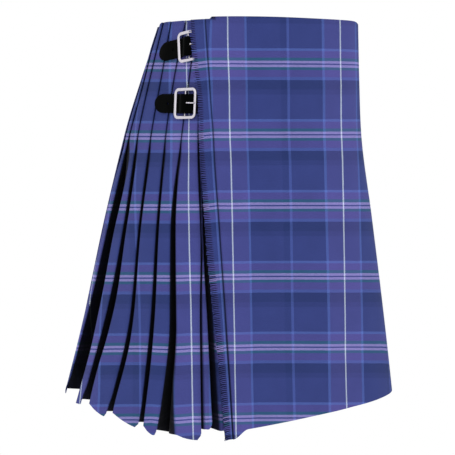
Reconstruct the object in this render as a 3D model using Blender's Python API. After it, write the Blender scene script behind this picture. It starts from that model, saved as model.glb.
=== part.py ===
"""A Scottish kilt: plain aprons in front, knife pleats round the back, buckled at the hips.

Metres, +Z up. The wearer faces -Y, so their left hand is on +X. The origin is the middle of
the waist, level with the upper strap.

A place on the cloth has three numbers, all in millimetres:
  along  the distance round the outline from the front centre, towards the wearer's left
  drop   the distance below the top edge
  inset  the depth inside the outline; a negative inset stands proud of it
"""

import functools
import math

import bmesh
import bpy
import numpy as np
from mathutils import Matrix, Vector

# Driving sizes, in millimetres.
MM = 0.001
TOP = 45.0
LENGTH = 585.0
CLOTH = 1.2
GAP = 0.4
LAYER = CLOTH + GAP
FELL = 170.0
SQUARENESS = 2.9
OUTLINE_STEPS = 720

# The outline in plan at six heights.
OUTLINE_COLUMNS = ("drop", "half_width", "front", "back")
OUTLINE = (
    (0, 146, 122, 131),
    (80, 155, 117, 174),
    (170, 165, 114, 221),
    (300, 190, 120, 256),
    (430, 214, 125, 287),
    (585, 243, 127, 330),
)

# The heights at which each cloth wall has a row of points.
ROWS = (0, 38, 80, 120, FELL, 192, 218, 262, 320, 390, 460, 525, LENGTH)

# The over apron: where its two edges lie and how far the layers under them push it out.
APRON_COLUMNS = ("drop", "right_edge", "left_edge", "right_lift", "left_lift", "fringe_end")
APRON = (
    (0, -175, 190, 7.0, 4.4, -208),
    (38, -169.5, 196, 8.9, 5.4, -200),
    (80, -166.5, 203, 6.4, 3.8, -194),
    (120, -164, 213, 4.9, 0.8, -188),
    (170, -161, 230, 3.1, 0, -187.5),
    (300, -160.5, 255, 1.4, 0, -183.5),
    (430, -158, 278, 1.2, 0, -177),
    (585, -151, 300, 1.0, 0, -165.5),
)
APRON_RISE = 3.0
APRON_LIFT_REACH = 70.0
APRON_PANELS = 17
APRON_TURN = 11.0
APRON_CORNER_SAG = 12.0
APRON_CORNER_REACH = 24.0

# The under apron: how deep it lies behind the over apron and where it ends.
UNDER_COLUMNS = ("along", "inset")
UNDER = ((-140, 10.0), (-60, 3.8), (60, 3.0), (180, 3.4))
UNDER_END = (160, 245)
UNDER_RUN_OUT = 18.0
UNDER_TUCK = 1.2

# Pleats. A fold edge is where a pleat turns under; the gap beside it opens below the fell.
PLEATS_BEHIND = 13
HIDDEN_DEPTH = 14.0
PLY = 2.2
TUCK = 0.5
FACE_STEP = 0.7
FACE_BELLY = 1.8
FOLD_DROPS = (0, 80, 170, 300, 430, 585)
GAP_DROPS = (218, 300, 430, 500, 585)
# Each row: name, edge at each of FOLD_DROPS, gap at each of GAP_DROPS, depth, and how much lower
# the hem hangs at the fold's edge, deep behind it and where the next face starts.
FOLDS = (
    ("A", (-320, -337, -373, -424, -476, -560), (32, 33, 50, 64, 72), 0.0, (2, 0, 0)),
    ("B", (-286, -312, -338, -364, -399, -463), (10, 10, 18, 18, 25), 0.0, (-4, 0, -13)),
    ("C", (-261, -277, -298, -321, -336, -385), (7, 6, 8, 11, 14), 0.0, (-2, 2, -12)),
    ("D", (-225, -245, -261, -277.5, -286, -304), (5, 6, 9, 10, 9), 0.8, (0.5, 3, -9)),
    ("E", (-202, -212, -225.5, -246, -245, -268), (6, 11, 12, 15, 30), 2.8, (3, 8, 4)),
    ("F", (-186, -191, -194, -192, -196, -198.5), (2, 2, 3, 3.5, 4), 4.6, (9, 0, -5)),
    ("G", (-172, -181, -187, -188, -184.5, -181), (6, 8, 9, 10, 12), 7.0, (-4, -5, 0)),
    ("H", (-150, -152, -154, -155, -150, -146), (5, 8, 10, 12, 14), 7.8, (0, 0, 0)),
)
BEHIND_GAP = (6, 10, 14, 17, 20)
BEHIND_UNEVEN = 3.0
BEHIND_SAG = 2.0
RECESS_COLUMNS = ("drop", "depth", "lean", "open", "sunk")
RECESS = (
    (0, 10, 10, 0, 0),
    (170, 10, 10, 0, 0),
    (192, 14, 10, 0.4, 0.2),
    (218, 18, 11, 0.8, 0.5),
    (262, 26, 13, 1, 0.9),
    (320, 31, 14, 1, 1),
    (430, 38, 15, 1, 1),
    (585, 44, 17, 1, 1),
)
SAG_STARTS = 470.0
# The pleated cloth is two lengths, joined in the deep fold after this many pleats.
PLEATS_JOIN = 9
SEAM_SHARE = 0.69

# The fringed strip under the over apron's turned edge.
STRIP_HIDDEN = 16.0
STRIP_SAG = 6.0
YARN_LENGTH = 9.0
YARN_COUNT = 150
YARN_ROOT = 3.0
YARN_GROUP = 10
YARN_FILL = 0.62
YARN_POINT = 0.45
YARN_SLANT = 1.0
YARN_FLARE = 3.0

# Straps, buckles and their leather chapes.
STRAP_WIDTH = 28.0
STRAP_THICK = 2.0
STRAP_CLEAR = 0.9
STRAP_ROWS = 6
STRAP_STATIONS = 18
STRAP_TIP_ROUND = 0.995
HUMP_HALF = 16.5
HUMP_SHAPE = 1.15
HUMP_SPARE = 0.5
COVER_ENDS = 2.0
COVER_SPARE = 0.2
HOLE_CENTRE = (2.6, 0.0, 8.0)
HOLE_SIZE = (6.8, 3.4, 16.0)
FRAME_WIDTH = 43.0
FRAME_HEIGHT = 45.0
FRAME_CORNER = 8.0
RAIL_WIDTH = 4.6
RAIL_THICK = 2.6
BAR_RADIUS = 1.1
BAR_SUNK = 0.1
PRONG_RADIUS = 0.9
PRONG_OVER_BAR = 0.3
PRONG_OVER_STRAP = 0.5
# Each row: share of the way from the bar to the far rail, level it keeps to, rise above that.
PRONG_ROUTE = (
    (0.03, "bar", 0.0),
    (0.09, "bar", 1.2),
    (0.17, "strap", -0.6),
    (0.27, "strap", 0.5),
    (0.60, "rail", 1.3),
    (1.00, "rail", 0.0),
    (1.05, "rail", -0.1),
)
CHAPE_THICK = 1.0
CHAPE_WIDTH = 20.0
CHAPE_REACH = 8.0
CHAPE_BEND = 5.0
CHAPE_REST = 0.2
ROLL_DEGREES = (-70, -40, -8, 30, 68, 104)
SLOT_CENTRE = (3.2, 0.0, 0.8)
SLOT_SIZE = (9.0, 4.4, 8.0)
# Each row: name, along, drop, tilt and yaw in degrees, level, tip, root, turn.
FASTENINGS = (
    ("upper", -209.5, 37.5, 8.6, 2.0, 4.4, -281, -146, 1),
    ("lower", -212, 120, 0.0, 2.0, 4.6, -285, -136, 1),
    ("left", 242, 40, 0.0, 0.0, 4.8, 312, 176, -1),
)

# Finishes: colour, roughness, metallic.
FINISHES = {
    "tartan": ((0.075, 0.085, 0.30), 0.85, 0.0),
    "yarn": ((0.06, 0.09, 0.27), 0.9, 0.0),
    "leather": ((0.008, 0.008, 0.009), 0.45, 0.0),
    "chrome": ((0.78, 0.78, 0.80), 0.2, 1.0),
}


def clear_scene():
    """Removes every object, so that the file can be run again."""
    for item in list(bpy.data.objects):
        bpy.data.objects.remove(item, do_unlink=True)


def finish(slot):
    """The material of this name, made when it is first asked for."""
    material = bpy.data.materials.get(slot)
    if material is None:
        colour, roughness, metallic = FINISHES[slot]
        material = bpy.data.materials.new(slot)
        material.use_nodes = True
        shader = material.node_tree.nodes["Principled BSDF"]
        shader.inputs["Base Color"].default_value = (*colour, 1.0)
        shader.inputs["Roughness"].default_value = roughness
        shader.inputs["Metallic"].default_value = metallic
    return material


# Curves through the tables above.


def curve(stations, values, place):
    """A smooth curve through the values that doesn't overshoot them, read at one place."""
    xs = np.asarray(stations, float)
    ys = np.asarray(values, float)
    rises = np.diff(ys) / np.diff(xs)
    product = rises[:-1] * rises[1:]
    total = rises[:-1] + rises[1:]
    inner = np.where(product > 0, 2 * product / np.where(total == 0, 1, total), 0.0)
    slopes = np.concatenate([rises[:1], inner, rises[-1:]])
    place = min(max(place, xs[0]), xs[-1])
    k = min(int(np.searchsorted(xs, place, "right")) - 1, len(rises) - 1)
    step = xs[k + 1] - xs[k]
    t = (place - xs[k]) / step
    start = (2 * t**3 - 3 * t**2 + 1) * ys[k] + (t**3 - 2 * t**2 + t) * step * slopes[k]
    end = (3 * t**2 - 2 * t**3) * ys[k + 1] + (t**3 - t**2) * step * slopes[k + 1]
    return float(start + end)


def table(rows, columns, column, place):
    """One named column of a table, read between its rows."""
    index = columns.index(column)
    return curve([row[0] for row in rows], [row[index] for row in rows], place)


def ease(low, high, value):
    """0 below low, 1 above high, and a smooth step between them."""
    t = min(max((value - low) / (high - low), 0.0), 1.0)
    return t * t * (3 - 2 * t)


# The outline of the garment.


@functools.lru_cache(maxsize=None)
def ring(drop):
    """The outline at a drop: its points, its outward directions, and distances along it."""
    angles = np.radians(np.linspace(-90, 270, OUTLINE_STEPS + 1))
    half_width = table(OUTLINE, OUTLINE_COLUMNS, "half_width", drop)
    front = table(OUTLINE, OUTLINE_COLUMNS, "front", drop)
    back = table(OUTLINE, OUTLINE_COLUMNS, "back", drop)
    depth = np.where(np.sin(angles) < 0, front, back)
    power = np.abs(np.cos(angles) / half_width) ** SQUARENESS
    power = power + np.abs(np.sin(angles) / depth) ** SQUARENESS
    radius = power ** (-1 / SQUARENESS)
    points = np.stack([radius * np.cos(angles), radius * np.sin(angles)], axis=1)
    steps = np.linalg.norm(np.diff(points, axis=0), axis=1)
    distances = np.concatenate([[0.0], np.cumsum(steps)])
    forward = np.gradient(points, distances, axis=0)
    forward /= np.linalg.norm(forward, axis=1)[:, None]
    outward = np.stack([forward[:, 1], -forward[:, 0]], axis=1)
    return points, outward, distances


def girth(drop):
    return float(ring(drop)[2][-1])


def plan(along, drop, inset):
    """The plan point of a place on the cloth."""
    points, outward, distances = ring(drop)
    along = along % distances[-1]
    spot = np.array([np.interp(along, distances, points[:, k]) for k in (0, 1)])
    away = np.array([np.interp(along, distances, outward[:, k]) for k in (0, 1)])
    return spot - inset * away / np.linalg.norm(away)


def place(along, drop, inset):
    """The point in space of a place on the cloth, in millimetres."""
    x, y = plan(along, drop, inset)
    return np.array([x, y, TOP - drop])


# Making solids.


def solid(name, mesh, slot):
    """Makes a named object of a mesh in millimetres."""
    bmesh.ops.scale(mesh, vec=(MM, MM, MM), verts=mesh.verts)
    bmesh.ops.recalc_face_normals(mesh, faces=mesh.faces)
    data = bpy.data.meshes.new(name)
    mesh.to_mesh(data)
    mesh.free()
    data.shade_smooth()
    data.set_sharp_from_angle(angle=math.radians(35))
    data.materials.append(finish(slot))
    item = bpy.data.objects.new(name, data)
    bpy.context.scene.collection.objects.link(item)
    return item


def sheet(name, outer, inner, slot):
    """A wall between two grids of points. Rows go down and columns go along."""
    mesh = bmesh.new()
    sides = [[[mesh.verts.new(p) for p in row] for row in grid] for grid in (outer, inner)]
    rows = len(outer)
    columns = len(outer[0])
    front, back = sides
    for r in range(rows - 1):
        for c in range(columns - 1):
            here = front[r][c].co
            beside = front[r][c + 1].co
            forward = here.x * beside.y > here.y * beside.x
            for side in sides:
                high = (side[r][c], side[r][c + 1])
                low = (side[r + 1][c], side[r + 1][c + 1])
                # Every layer is split the same way round the body, so that none cuts the next.
                near, far = (0, 1) if forward else (1, 0)
                mesh.faces.new((high[near], low[near], low[far]))
                mesh.faces.new((high[near], low[far], high[far]))
    for r in (0, rows - 1):
        for c in range(columns - 1):
            mesh.faces.new((front[r][c], front[r][c + 1], back[r][c + 1], back[r][c]))
    for c in (0, columns - 1):
        for r in range(rows - 1):
            mesh.faces.new((front[r][c], back[r][c], back[r + 1][c], front[r + 1][c]))
    return solid(name, mesh, slot)


def two_sides(path, thickness):
    """The two edges of a wall of this thickness that follows a path, mitred at its corners."""
    path = np.asarray(path, float)
    runs = np.diff(path, axis=0)
    runs /= np.linalg.norm(runs, axis=1)[:, None]
    before = np.vstack([runs[:1], runs])
    after = np.vstack([runs, runs[-1:]])
    right_before = np.stack([before[:, 1], -before[:, 0]], axis=1)
    right_after = np.stack([after[:, 1], -after[:, 0]], axis=1)
    spread = 1 + np.sum(right_before * right_after, axis=1)
    across = (right_before + right_after) / np.maximum(spread, 0.4)[:, None]
    return path + across * thickness / 2, path - across * thickness / 2


def folded_wall(name, path_at, slot):
    """A wall of cloth from a function that gives (along, inset, sag) for each point of a row."""
    outer = []
    inner = []
    for drop in ROWS:
        places = path_at(drop)
        path = [plan(along, drop, inset) for along, inset, _ in places]
        heights = [TOP - drop - sag for _, _, sag in places]
        for grid, side in zip((outer, inner), two_sides(path, CLOTH)):
            grid.append([(x, y, z) for (x, y), z in zip(side, heights)])
    return sheet(name, outer, inner, slot)


def combine(item, other, operation):
    """Cuts one object with another, or joins them; the other is hidden."""
    other.hide_render = True
    other.display_type = "WIRE"
    change = item.modifiers.new(operation.lower(), "BOOLEAN")
    change.operation = operation
    change.solver = "EXACT"
    change.object = other


# The pleats.


def hem_sag(drop, amount):
    """How much lower a pleat's tip hangs near the hem."""
    return amount * ease(SAG_STARTS, LENGTH, drop)


def folds_at(drop):
    """Every fold edge at a drop, from the over apron's left edge round the back to fold H.

    Each is (along, gap, depth, sag); the gap and depth are those beside that edge.
    """
    around = girth(drop)
    left = table(APRON, APRON_COLUMNS, "left_edge", drop)
    first = around + curve(FOLD_DROPS, FOLDS[0][1], drop)
    found = [(left, 0.0, 0.0, (0.0, 0.0, 0.0))]
    for k in range(1, PLEATS_BEHIND + 1):
        swing = BEHIND_UNEVEN * math.sin(2.4 * k) * ease(FELL, LENGTH, drop)
        along = left + (first - left) * k / (PLEATS_BEHIND + 1) + swing
        gap = curve(GAP_DROPS, BEHIND_GAP, drop) * (1 + 0.35 * math.sin(1.7 * k))
        sag = hem_sag(drop, BEHIND_SAG * (1 + 0.6 * math.sin(2.9 * k)))
        found.append((along, gap, 0.0, (sag, 0.0, -sag)))
    for _, edges, gaps, depth, sags in FOLDS:
        along = around + curve(FOLD_DROPS, edges, drop)
        sags = tuple(hem_sag(drop, sag) for sag in sags)
        found.append((along, curve(GAP_DROPS, gaps, drop), depth, sags))
    return found


def mix(start, end, share):
    return tuple(a + (b - a) * share for a, b in zip(start, end))


def tuck_under(fold, slope, drop):
    """The points where the cloth turns under one fold: edge, return, and the two deep points."""
    along, _, depth, (sag, deep_sag, _) = fold
    level = depth + CLOTH / 2
    deep = table(RECESS, RECESS_COLUMNS, "depth", drop)
    lean = table(RECESS, RECESS_COLUMNS, "lean", drop)
    sunk = table(RECESS, RECESS_COLUMNS, "sunk", drop)
    fallen = slope * HIDDEN_DEPTH
    edge = (along, level, sag)
    shut_return = (along, level + PLY, sag)
    open_return = (along - 0.4, level + PLY + 0.4, sag)
    shut_far = (along - HIDDEN_DEPTH, level + PLY + fallen, deep_sag)
    open_far = (along - lean, level + deep, deep_sag)
    shut_near = (along - HIDDEN_DEPTH, level + 2 * PLY + fallen, deep_sag)
    open_near = (along - lean + 1.8 * PLY, level + deep + 0.6, deep_sag)
    return (
        edge,
        mix(shut_return, open_return, sunk),
        mix(shut_far, open_far, sunk),
        mix(shut_near, open_near, sunk),
    )


def face_start(fold, drop):
    """Where the next pleat's face comes out from beneath a fold."""
    along, gap, depth, (_, _, sag) = fold
    opened = table(RECESS, RECESS_COLUMNS, "open", drop) if gap > 0 else 0.0
    level = depth + CLOTH / 2
    belly = FACE_BELLY * 4 * opened * (1 - opened)
    shut = (along - TUCK, level + 2 * PLY + belly, sag)
    wide = (along + gap + CLOTH, level + FACE_STEP + belly, sag)
    return mix(shut, wide, opened)


def face_slope(start, fold):
    """How steeply a pleat's face falls from its fold edge back to its start."""
    run = max(fold[0] - start[0], 1.0)
    return (start[1] - fold[2] - CLOTH / 2) / run


def pleats_path(drop, first, last):
    """The zigzag of the pleats numbered first to last at one drop."""
    folds = folds_at(drop)
    start = face_start(folds[0], drop)
    lead = (start[0] - HIDDEN_DEPTH + 2 * TUCK, start[1] + 0.4, 0.0)
    points = [lead, start]
    for number, fold in enumerate(folds[1 : last + 1], 1):
        edge, back, far, near = tuck_under(fold, face_slope(start, fold), drop)
        middle = (*mix(start, edge, 0.5)[:2], mix(edge, start, 0.25)[2])
        points += [middle, edge, back, far]
        start = face_start(fold, drop)
        if number == first - 1:
            near = mix(far, near, SEAM_SHARE)
            points = []
        if number < last:
            points += [near, start]
    return points


def left_pleats_path(drop):
    """The first of the two lengths that the pleated cloth is cut from."""
    return pleats_path(drop, 1, PLEATS_JOIN)


def right_pleats_path(drop):
    """The second length, joined to the first in a deep fold."""
    return pleats_path(drop, PLEATS_JOIN + 1, PLEATS_BEHIND + len(FOLDS))


# The aprons.


def apron_lift(along, drop):
    """How far the over apron stands proud, over what lies beneath its two side edges."""
    right = table(APRON, APRON_COLUMNS, "right_edge", drop)
    left = table(APRON, APRON_COLUMNS, "left_edge", drop)
    right_share = 1 - ease(0, APRON_LIFT_REACH, along - right)
    left_share = 1 - ease(0, APRON_LIFT_REACH, left - along)
    right_lift = table(APRON, APRON_COLUMNS, "right_lift", drop) * right_share
    return right_lift + table(APRON, APRON_COLUMNS, "left_lift", drop) * left_share


def over_apron_path(drop):
    """The over apron at one drop, with its left edge folded under."""
    right = table(APRON, APRON_COLUMNS, "right_edge", drop)
    left = table(APRON, APRON_COLUMNS, "left_edge", drop)
    rise = -APRON_RISE * (1 - ease(0, ROWS[1], drop))
    first = right + STRIP_HIDDEN
    last = left - APRON_TURN
    stations = [right, *np.linspace(first, last, APRON_PANELS - 1), left]
    points = []
    for along in stations:
        corner = 1 - ease(0, APRON_CORNER_REACH, along - right)
        sag = rise + hem_sag(drop, APRON_CORNER_SAG) * corner
        points.append((along, CLOTH / 2 - apron_lift(along, drop), sag))
    level = points[-1][1]
    points.append((left, level + LAYER, rise))
    points.append((last, points[-3][1] + LAYER + 0.2, rise))
    return points


def under_apron_path(drop):
    """The under apron at one drop, from the last pleat's deep fold to its free left edge."""
    folds = folds_at(drop)
    around = girth(drop)
    last = (folds[-1][0] - around, *folds[-1][1:])
    before = face_start((folds[-2][0] - around, *folds[-2][1:]), drop)
    near = tuck_under(last, face_slope(before, last), drop)[3]
    start = face_start(last, drop)
    end = UNDER_END[0] + (UNDER_END[1] - UNDER_END[0]) * drop / LENGTH
    points = [near, (start[0], start[1] + UNDER_TUCK, 0.0)]
    first = start[0] + UNDER_RUN_OUT
    for k in range(APRON_PANELS - 2):
        along = first + (end - first) * k / (APRON_PANELS - 3)
        points.append((along, table(UNDER, UNDER_COLUMNS, "inset", along) + CLOTH / 2, 0.0))
    return points


# The fringed strip.


def strip_inset(along, drop):
    """The middle of the fringed strip, which lies just under the over apron."""
    right = table(APRON, APRON_COLUMNS, "right_edge", drop)
    return CLOTH / 2 + LAYER - apron_lift(max(along, right), drop)


def strip_place(along, drop, out):
    """A point of the strip or its fringe; the hem end hangs a little lower."""
    spot = place(along, drop, strip_inset(along, drop) + out)
    return spot - np.array([0, 0, hem_sag(drop, STRIP_SAG)])


def fringe_strip():
    """The cloth strip that carries the fringe, half hidden by the over apron."""
    outer = []
    inner = []
    for drop in ROWS:
        right = table(APRON, APRON_COLUMNS, "right_edge", drop)
        edge = table(APRON, APRON_COLUMNS, "fringe_end", drop) + YARN_LENGTH + YARN_ROOT + GAP
        stations = (edge, (edge + right) / 2, right, right + STRIP_HIDDEN)
        for grid, half in ((outer, -CLOTH / 2), (inner, CLOTH / 2)):
            grid.append([strip_place(s, drop, half) for s in stations])
    return sheet("fringe_strip", outer, inner, "tartan")


def fringe_yarns():
    """The fringe: yarns that stand out from one narrow backing along the strip's edge."""
    mesh = bmesh.new()
    pitch = LENGTH / YARN_COUNT
    half = CLOTH * 0.4

    def pair(along, drop, flare=0.0):
        return [mesh.verts.new(strip_place(along, drop, side - flare)) for side in (-half, half)]

    def root_and_tip(drop):
        tip = table(APRON, APRON_COLUMNS, "fringe_end", drop)
        return tip + YARN_LENGTH, tip

    def quad(a, b):
        mesh.faces.new((a[0], b[0], b[1], a[1]))

    near = []
    for k in range(YARN_COUNT):
        middle = (k + 0.5) * pitch
        reach = 1 + 0.12 * math.sin(5.1 * k) + 0.08 * math.sin(2.3 * k)
        slant = YARN_SLANT * math.sin(1.9 * k)
        corners = []
        for way in (-1, 1):
            drop = middle + way * YARN_FILL * pitch / 2
            corners.append((drop, middle + slant + way * YARN_POINT * YARN_FILL * pitch / 2))
        roots = [pair(root_and_tip(drop)[0], drop) for drop, _ in corners]
        ends = []
        for drop, tip_drop in corners:
            root, tip = root_and_tip(drop)
            end_drop = min(max(tip_drop, 0), LENGTH)
            ends.append(pair(root - (root - tip) * reach, end_drop, YARN_FLARE))
        quad(roots[0], ends[0])
        quad(ends[0], ends[1])
        quad(ends[1], roots[1])
        for side in (0, 1):
            mesh.faces.new((roots[0][side], ends[0][side], ends[1][side], roots[1][side]))
        near += roots
    near = [pair(root_and_tip(0)[0], 0), *near, pair(root_and_tip(LENGTH)[0], LENGTH)]
    for k in range(0, len(near) - 1, 2):
        quad(near[k], near[k + 1])
    marks = [0, *range(2 * YARN_GROUP, 2 * YARN_COUNT, 2 * YARN_GROUP), len(near) - 1]
    far = []
    for mark in marks:
        drop = 0 if mark == 0 else LENGTH if mark == len(near) - 1 else None
        if drop is None:
            drop = (mark // 2) * pitch - (1 - YARN_FILL) * pitch / 2
        far.append(pair(root_and_tip(drop)[0] + YARN_ROOT, drop))
    for k in range(len(marks) - 1):
        quad(far[k], far[k + 1])
        half_way = (marks[k] + marks[k + 1]) // 2
        for side in (0, 1):
            mesh.faces.new((far[k][side], near[half_way][side], far[k + 1][side]))
            for j in range(marks[k], marks[k + 1]):
                corner = far[k] if j < half_way else far[k + 1]
                mesh.faces.new((corner[side], near[j][side], near[j + 1][side]))
    quad(far[0], near[0])
    quad(far[-1], near[-1])
    return solid("fringe_yarns", mesh, "yarn")


# Straps and buckles.


def rest_level(along, drop):
    """The inset of the line that touches the pleats' fold edges, where leather lies."""
    around = girth(drop)
    folds = folds_at(drop)
    shift = around if along < 0 else 0.0
    stations = [fold[0] - shift for fold in folds]
    return float(np.interp(along, stations, [fold[2] for fold in folds]))


class Seat:
    """The flat frame of reference of one buckle: x along the strap, y across, z outwards."""

    def __init__(self, name, along, drop, tilt, yaw, level, tip, root, turn):
        self.name = name
        self.along = along
        self.drop = drop
        self.slope = math.tan(math.radians(tilt))
        self.level = level
        self.tip = tip
        self.root = root
        self.turn = turn
        self.origin = Vector(self.surface(along, drop))
        strap_end = Vector(self.surface(along + turn, drop - turn * self.slope))
        below = Vector(self.surface(along, drop + 1))
        self.x = (strap_end - self.origin).normalized()
        self.z = self.x.cross(below - self.origin).normalized()
        outward = Vector((*self.origin.xy, 0))
        if self.z.dot(outward) < 0:
            self.z.negate()
        self.y = self.z.cross(self.x).normalized()
        yawed = Matrix.Rotation(math.radians(yaw), 3, self.y)
        self.x = yawed @ self.x
        self.z = yawed @ self.z

    def hump(self):
        """How far the strap climbs to pass over the centre bar and the rolled leather."""
        return self.bar_level() + BAR_RADIUS + CHAPE_THICK + 2 * GAP + HUMP_SPARE

    def bar_level(self):
        """How high the middle of the centre bar lies."""
        return self.level - BAR_SUNK

    def surface(self, along, drop, height=0.0):
        """A point this high above the pleats' fold edges."""
        return place(along, drop, rest_level(along, drop) - height)

    def point(self, x, y, z):
        return self.origin + self.x * x + self.y * y + self.z * z

    def ground(self, x):
        """How high the fold edges lie above the flat frame, at x along the strap."""
        along = self.along + self.turn * x
        spot = Vector(self.surface(along, self.drop - self.turn * x * self.slope))
        return (spot - self.origin).dot(self.z)

    def frame(self):
        """The seat's axes as a matrix."""
        turned = Matrix((self.x, self.y, self.z)).transposed().to_4x4()
        return Matrix.Translation(self.origin) @ turned


def strap_height(seat, offset):
    """How high the middle of a strap runs above the fold edges; it climbs the centre bar."""
    hump = 0.5 + 0.5 * math.cos(math.pi * min(abs(offset) / HUMP_HALF, 1.0) ** HUMP_SHAPE)
    return STRAP_CLEAR + STRAP_THICK / 2 + seat.hump() * hump


def strap(seat):
    """A strap that comes from under the apron and passes through its buckle."""
    half = STRAP_WIDTH / 2
    outer = []
    inner = []
    for r in range(STRAP_ROWS + 1):
        across = half * math.sin(math.pi * (r / STRAP_ROWS - 0.5))
        round_off = half - math.sqrt(half**2 - (STRAP_TIP_ROUND * across) ** 2)
        tip = seat.tip + seat.turn * round_off
        tops = []
        bottoms = []
        for k in range(STRAP_STATIONS + 1):
            along = tip + (seat.root - tip) * k / STRAP_STATIONS
            drop = seat.drop + across - (along - seat.along) * seat.slope
            height = strap_height(seat, along - seat.along)
            if (along - seat.along) * seat.turn > HUMP_HALF:
                height = min(height, hidden_height(seat, along, drop))
            tops.append(seat.surface(along, drop, height + STRAP_THICK / 2))
            bottoms.append(seat.surface(along, drop, height - STRAP_THICK / 2))
        outer.append(tops if seat.turn > 0 else tops[::-1])
        inner.append(bottoms if seat.turn > 0 else bottoms[::-1])
    item = sheet(f"strap_{seat.name}", outer, inner, "leather")
    combine(item, box(seat, f"hole_{seat.name}", HOLE_CENTRE, HOLE_SIZE), "DIFFERENCE")
    return item


def hidden_height(seat, along, drop):
    """The highest that a strap's middle may run where an apron covers it."""
    if seat.turn > 0:
        cover = strip_inset(along, drop) + CLOTH / 2
    else:
        left = table(APRON, APRON_COLUMNS, "left_edge", drop)
        if along > left + COVER_ENDS:
            return math.inf
        cover = CLOTH + LAYER - apron_lift(min(along, left), drop) + COVER_SPARE
    return rest_level(along, drop) - cover - STRAP_CLEAR - STRAP_THICK / 2


def box(seat, name, centre, size):
    """A box on a seat's axes, for cutting."""
    mesh = bmesh.new()
    turned = seat.frame()
    stretch = Matrix.Diagonal((*size, 1.0))
    bmesh.ops.create_cube(mesh, size=1.0, matrix=turned @ Matrix.Translation(centre) @ stretch)
    return solid(name, mesh, "leather")


def tube(mesh, path, section, closed):
    """Skins a path of (point, side, up) frames with a section of (across, up) points."""
    loops = []
    for spot, side, up in path:
        loops.append([mesh.verts.new(spot + side * a + up * b) for a, b in section])
    count = len(loops)
    for k in range(count if closed else count - 1):
        near = loops[k]
        far = loops[(k + 1) % count]
        for c in range(len(section)):
            d = (c + 1) % len(section)
            mesh.faces.new((near[c], near[d], far[d], far[c]))
    if not closed:
        mesh.faces.new(loops[0])
        mesh.faces.new(loops[-1])


def ellipse(width, height, sides):
    """A section of this many sides with a flat top and bottom."""
    turn = math.pi / sides
    points = []
    for k in range(sides):
        angle = 2 * math.pi * k / sides + turn
        points.append((math.cos(angle) * width / 2, math.sin(angle) * height / 2))
    return points


def buckle(seat):
    """A rounded frame with a centre bar."""
    half_x = (FRAME_WIDTH - RAIL_WIDTH) / 2
    half_y = (FRAME_HEIGHT - RAIL_WIDTH) / 2
    radius = FRAME_CORNER - RAIL_WIDTH / 2
    path = []
    for corner in range(4):
        sign_x = (1, -1, -1, 1)[corner]
        sign_y = (1, 1, -1, -1)[corner]
        for step in range(4):
            angle = math.radians(90 * corner + 30 * step)
            out = seat.x * math.cos(angle) + seat.y * math.sin(angle)
            x = sign_x * (half_x - radius)
            y = sign_y * (half_y - radius)
            path.append((seat.point(x, y, seat.level) + out * radius, out, seat.z))
    mesh = bmesh.new()
    tube(mesh, path, ellipse(RAIL_WIDTH, RAIL_THICK, 8), True)
    item = solid(f"buckle_{seat.name}", mesh, "chrome")
    rod = bmesh.new()
    ends = [(seat.point(0, y, seat.bar_level()), seat.x, seat.z) for y in (-half_y, half_y)]
    tube(rod, ends, ellipse(2 * BAR_RADIUS, 2 * BAR_RADIUS, 8), False)
    bar = solid(f"bar_{seat.name}", rod, "chrome")
    combine(item, bar, "UNION")
    return item


def prong(seat):
    """The prong: up through the strap's hole from the centre bar, and onto the far rail."""
    rail = (FRAME_WIDTH - RAIL_WIDTH) / 2
    rail_top = seat.level + RAIL_THICK / 2 + PRONG_RADIUS + GAP
    bar_top = seat.bar_level() + BAR_RADIUS + PRONG_RADIUS + PRONG_OVER_BAR
    strap_top = GAP + STRAP_THICK + seat.hump() + PRONG_RADIUS + PRONG_OVER_STRAP
    levels = {"bar": bar_top, "strap": strap_top, "rail": rail_top}
    route = [(share * rail, levels[name] + rise) for share, name, rise in PRONG_ROUTE]
    path = []
    for k, (x, z) in enumerate(route):
        ahead = Vector(route[min(k + 1, len(route) - 1)])
        behind = Vector(route[max(k - 1, 0)])
        run = (ahead - behind).normalized()
        up = seat.z * run.x - seat.x * run.y
        path.append((seat.point(x, 0, z), seat.y, up))
    mesh = bmesh.new()
    tube(mesh, path, ellipse(2 * PRONG_RADIUS, 2 * PRONG_RADIUS, 6), False)
    return solid(f"prong_{seat.name}", mesh, "chrome")


def chape(seat):
    """The leather tab sewn to the pleats, rolled round the centre bar."""
    middle = GAP + CHAPE_REST + CHAPE_THICK / 2
    roll = BAR_RADIUS + GAP + CHAPE_THICK / 2
    route = [(x, seat.ground(x) + middle) for x in (-CHAPE_REACH, -CHAPE_BEND)]
    for degrees in ROLL_DEGREES:
        angle = math.radians(degrees)
        route.append((roll * math.cos(angle), seat.bar_level() + roll * math.sin(angle)))
    edges = two_sides(route, CHAPE_THICK)
    half = CHAPE_WIDTH / 2
    outer = [[seat.point(x, y, z) for x, z in edges[0]] for y in (half, -half)]
    inner = [[seat.point(x, y, z) for x, z in edges[1]] for y in (half, -half)]
    item = sheet(f"chape_{seat.name}", outer, inner, "leather")
    slot = Vector(SLOT_CENTRE) + Vector((0, 0, seat.bar_level()))
    combine(item, box(seat, f"slot_{seat.name}", slot, SLOT_SIZE), "DIFFERENCE")
    return item


def main():
    clear_scene()
    folded_wall("pleats_left", left_pleats_path, "tartan")
    folded_wall("pleats_right", right_pleats_path, "tartan")
    folded_wall("under_apron", under_apron_path, "tartan")
    folded_wall("over_apron", over_apron_path, "tartan")
    fringe_strip()
    fringe_yarns()
    for row in FASTENINGS:
        seat = Seat(*row)
        strap(seat)
        chape(seat)
        buckle(seat)
        prong(seat)


main()
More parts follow.
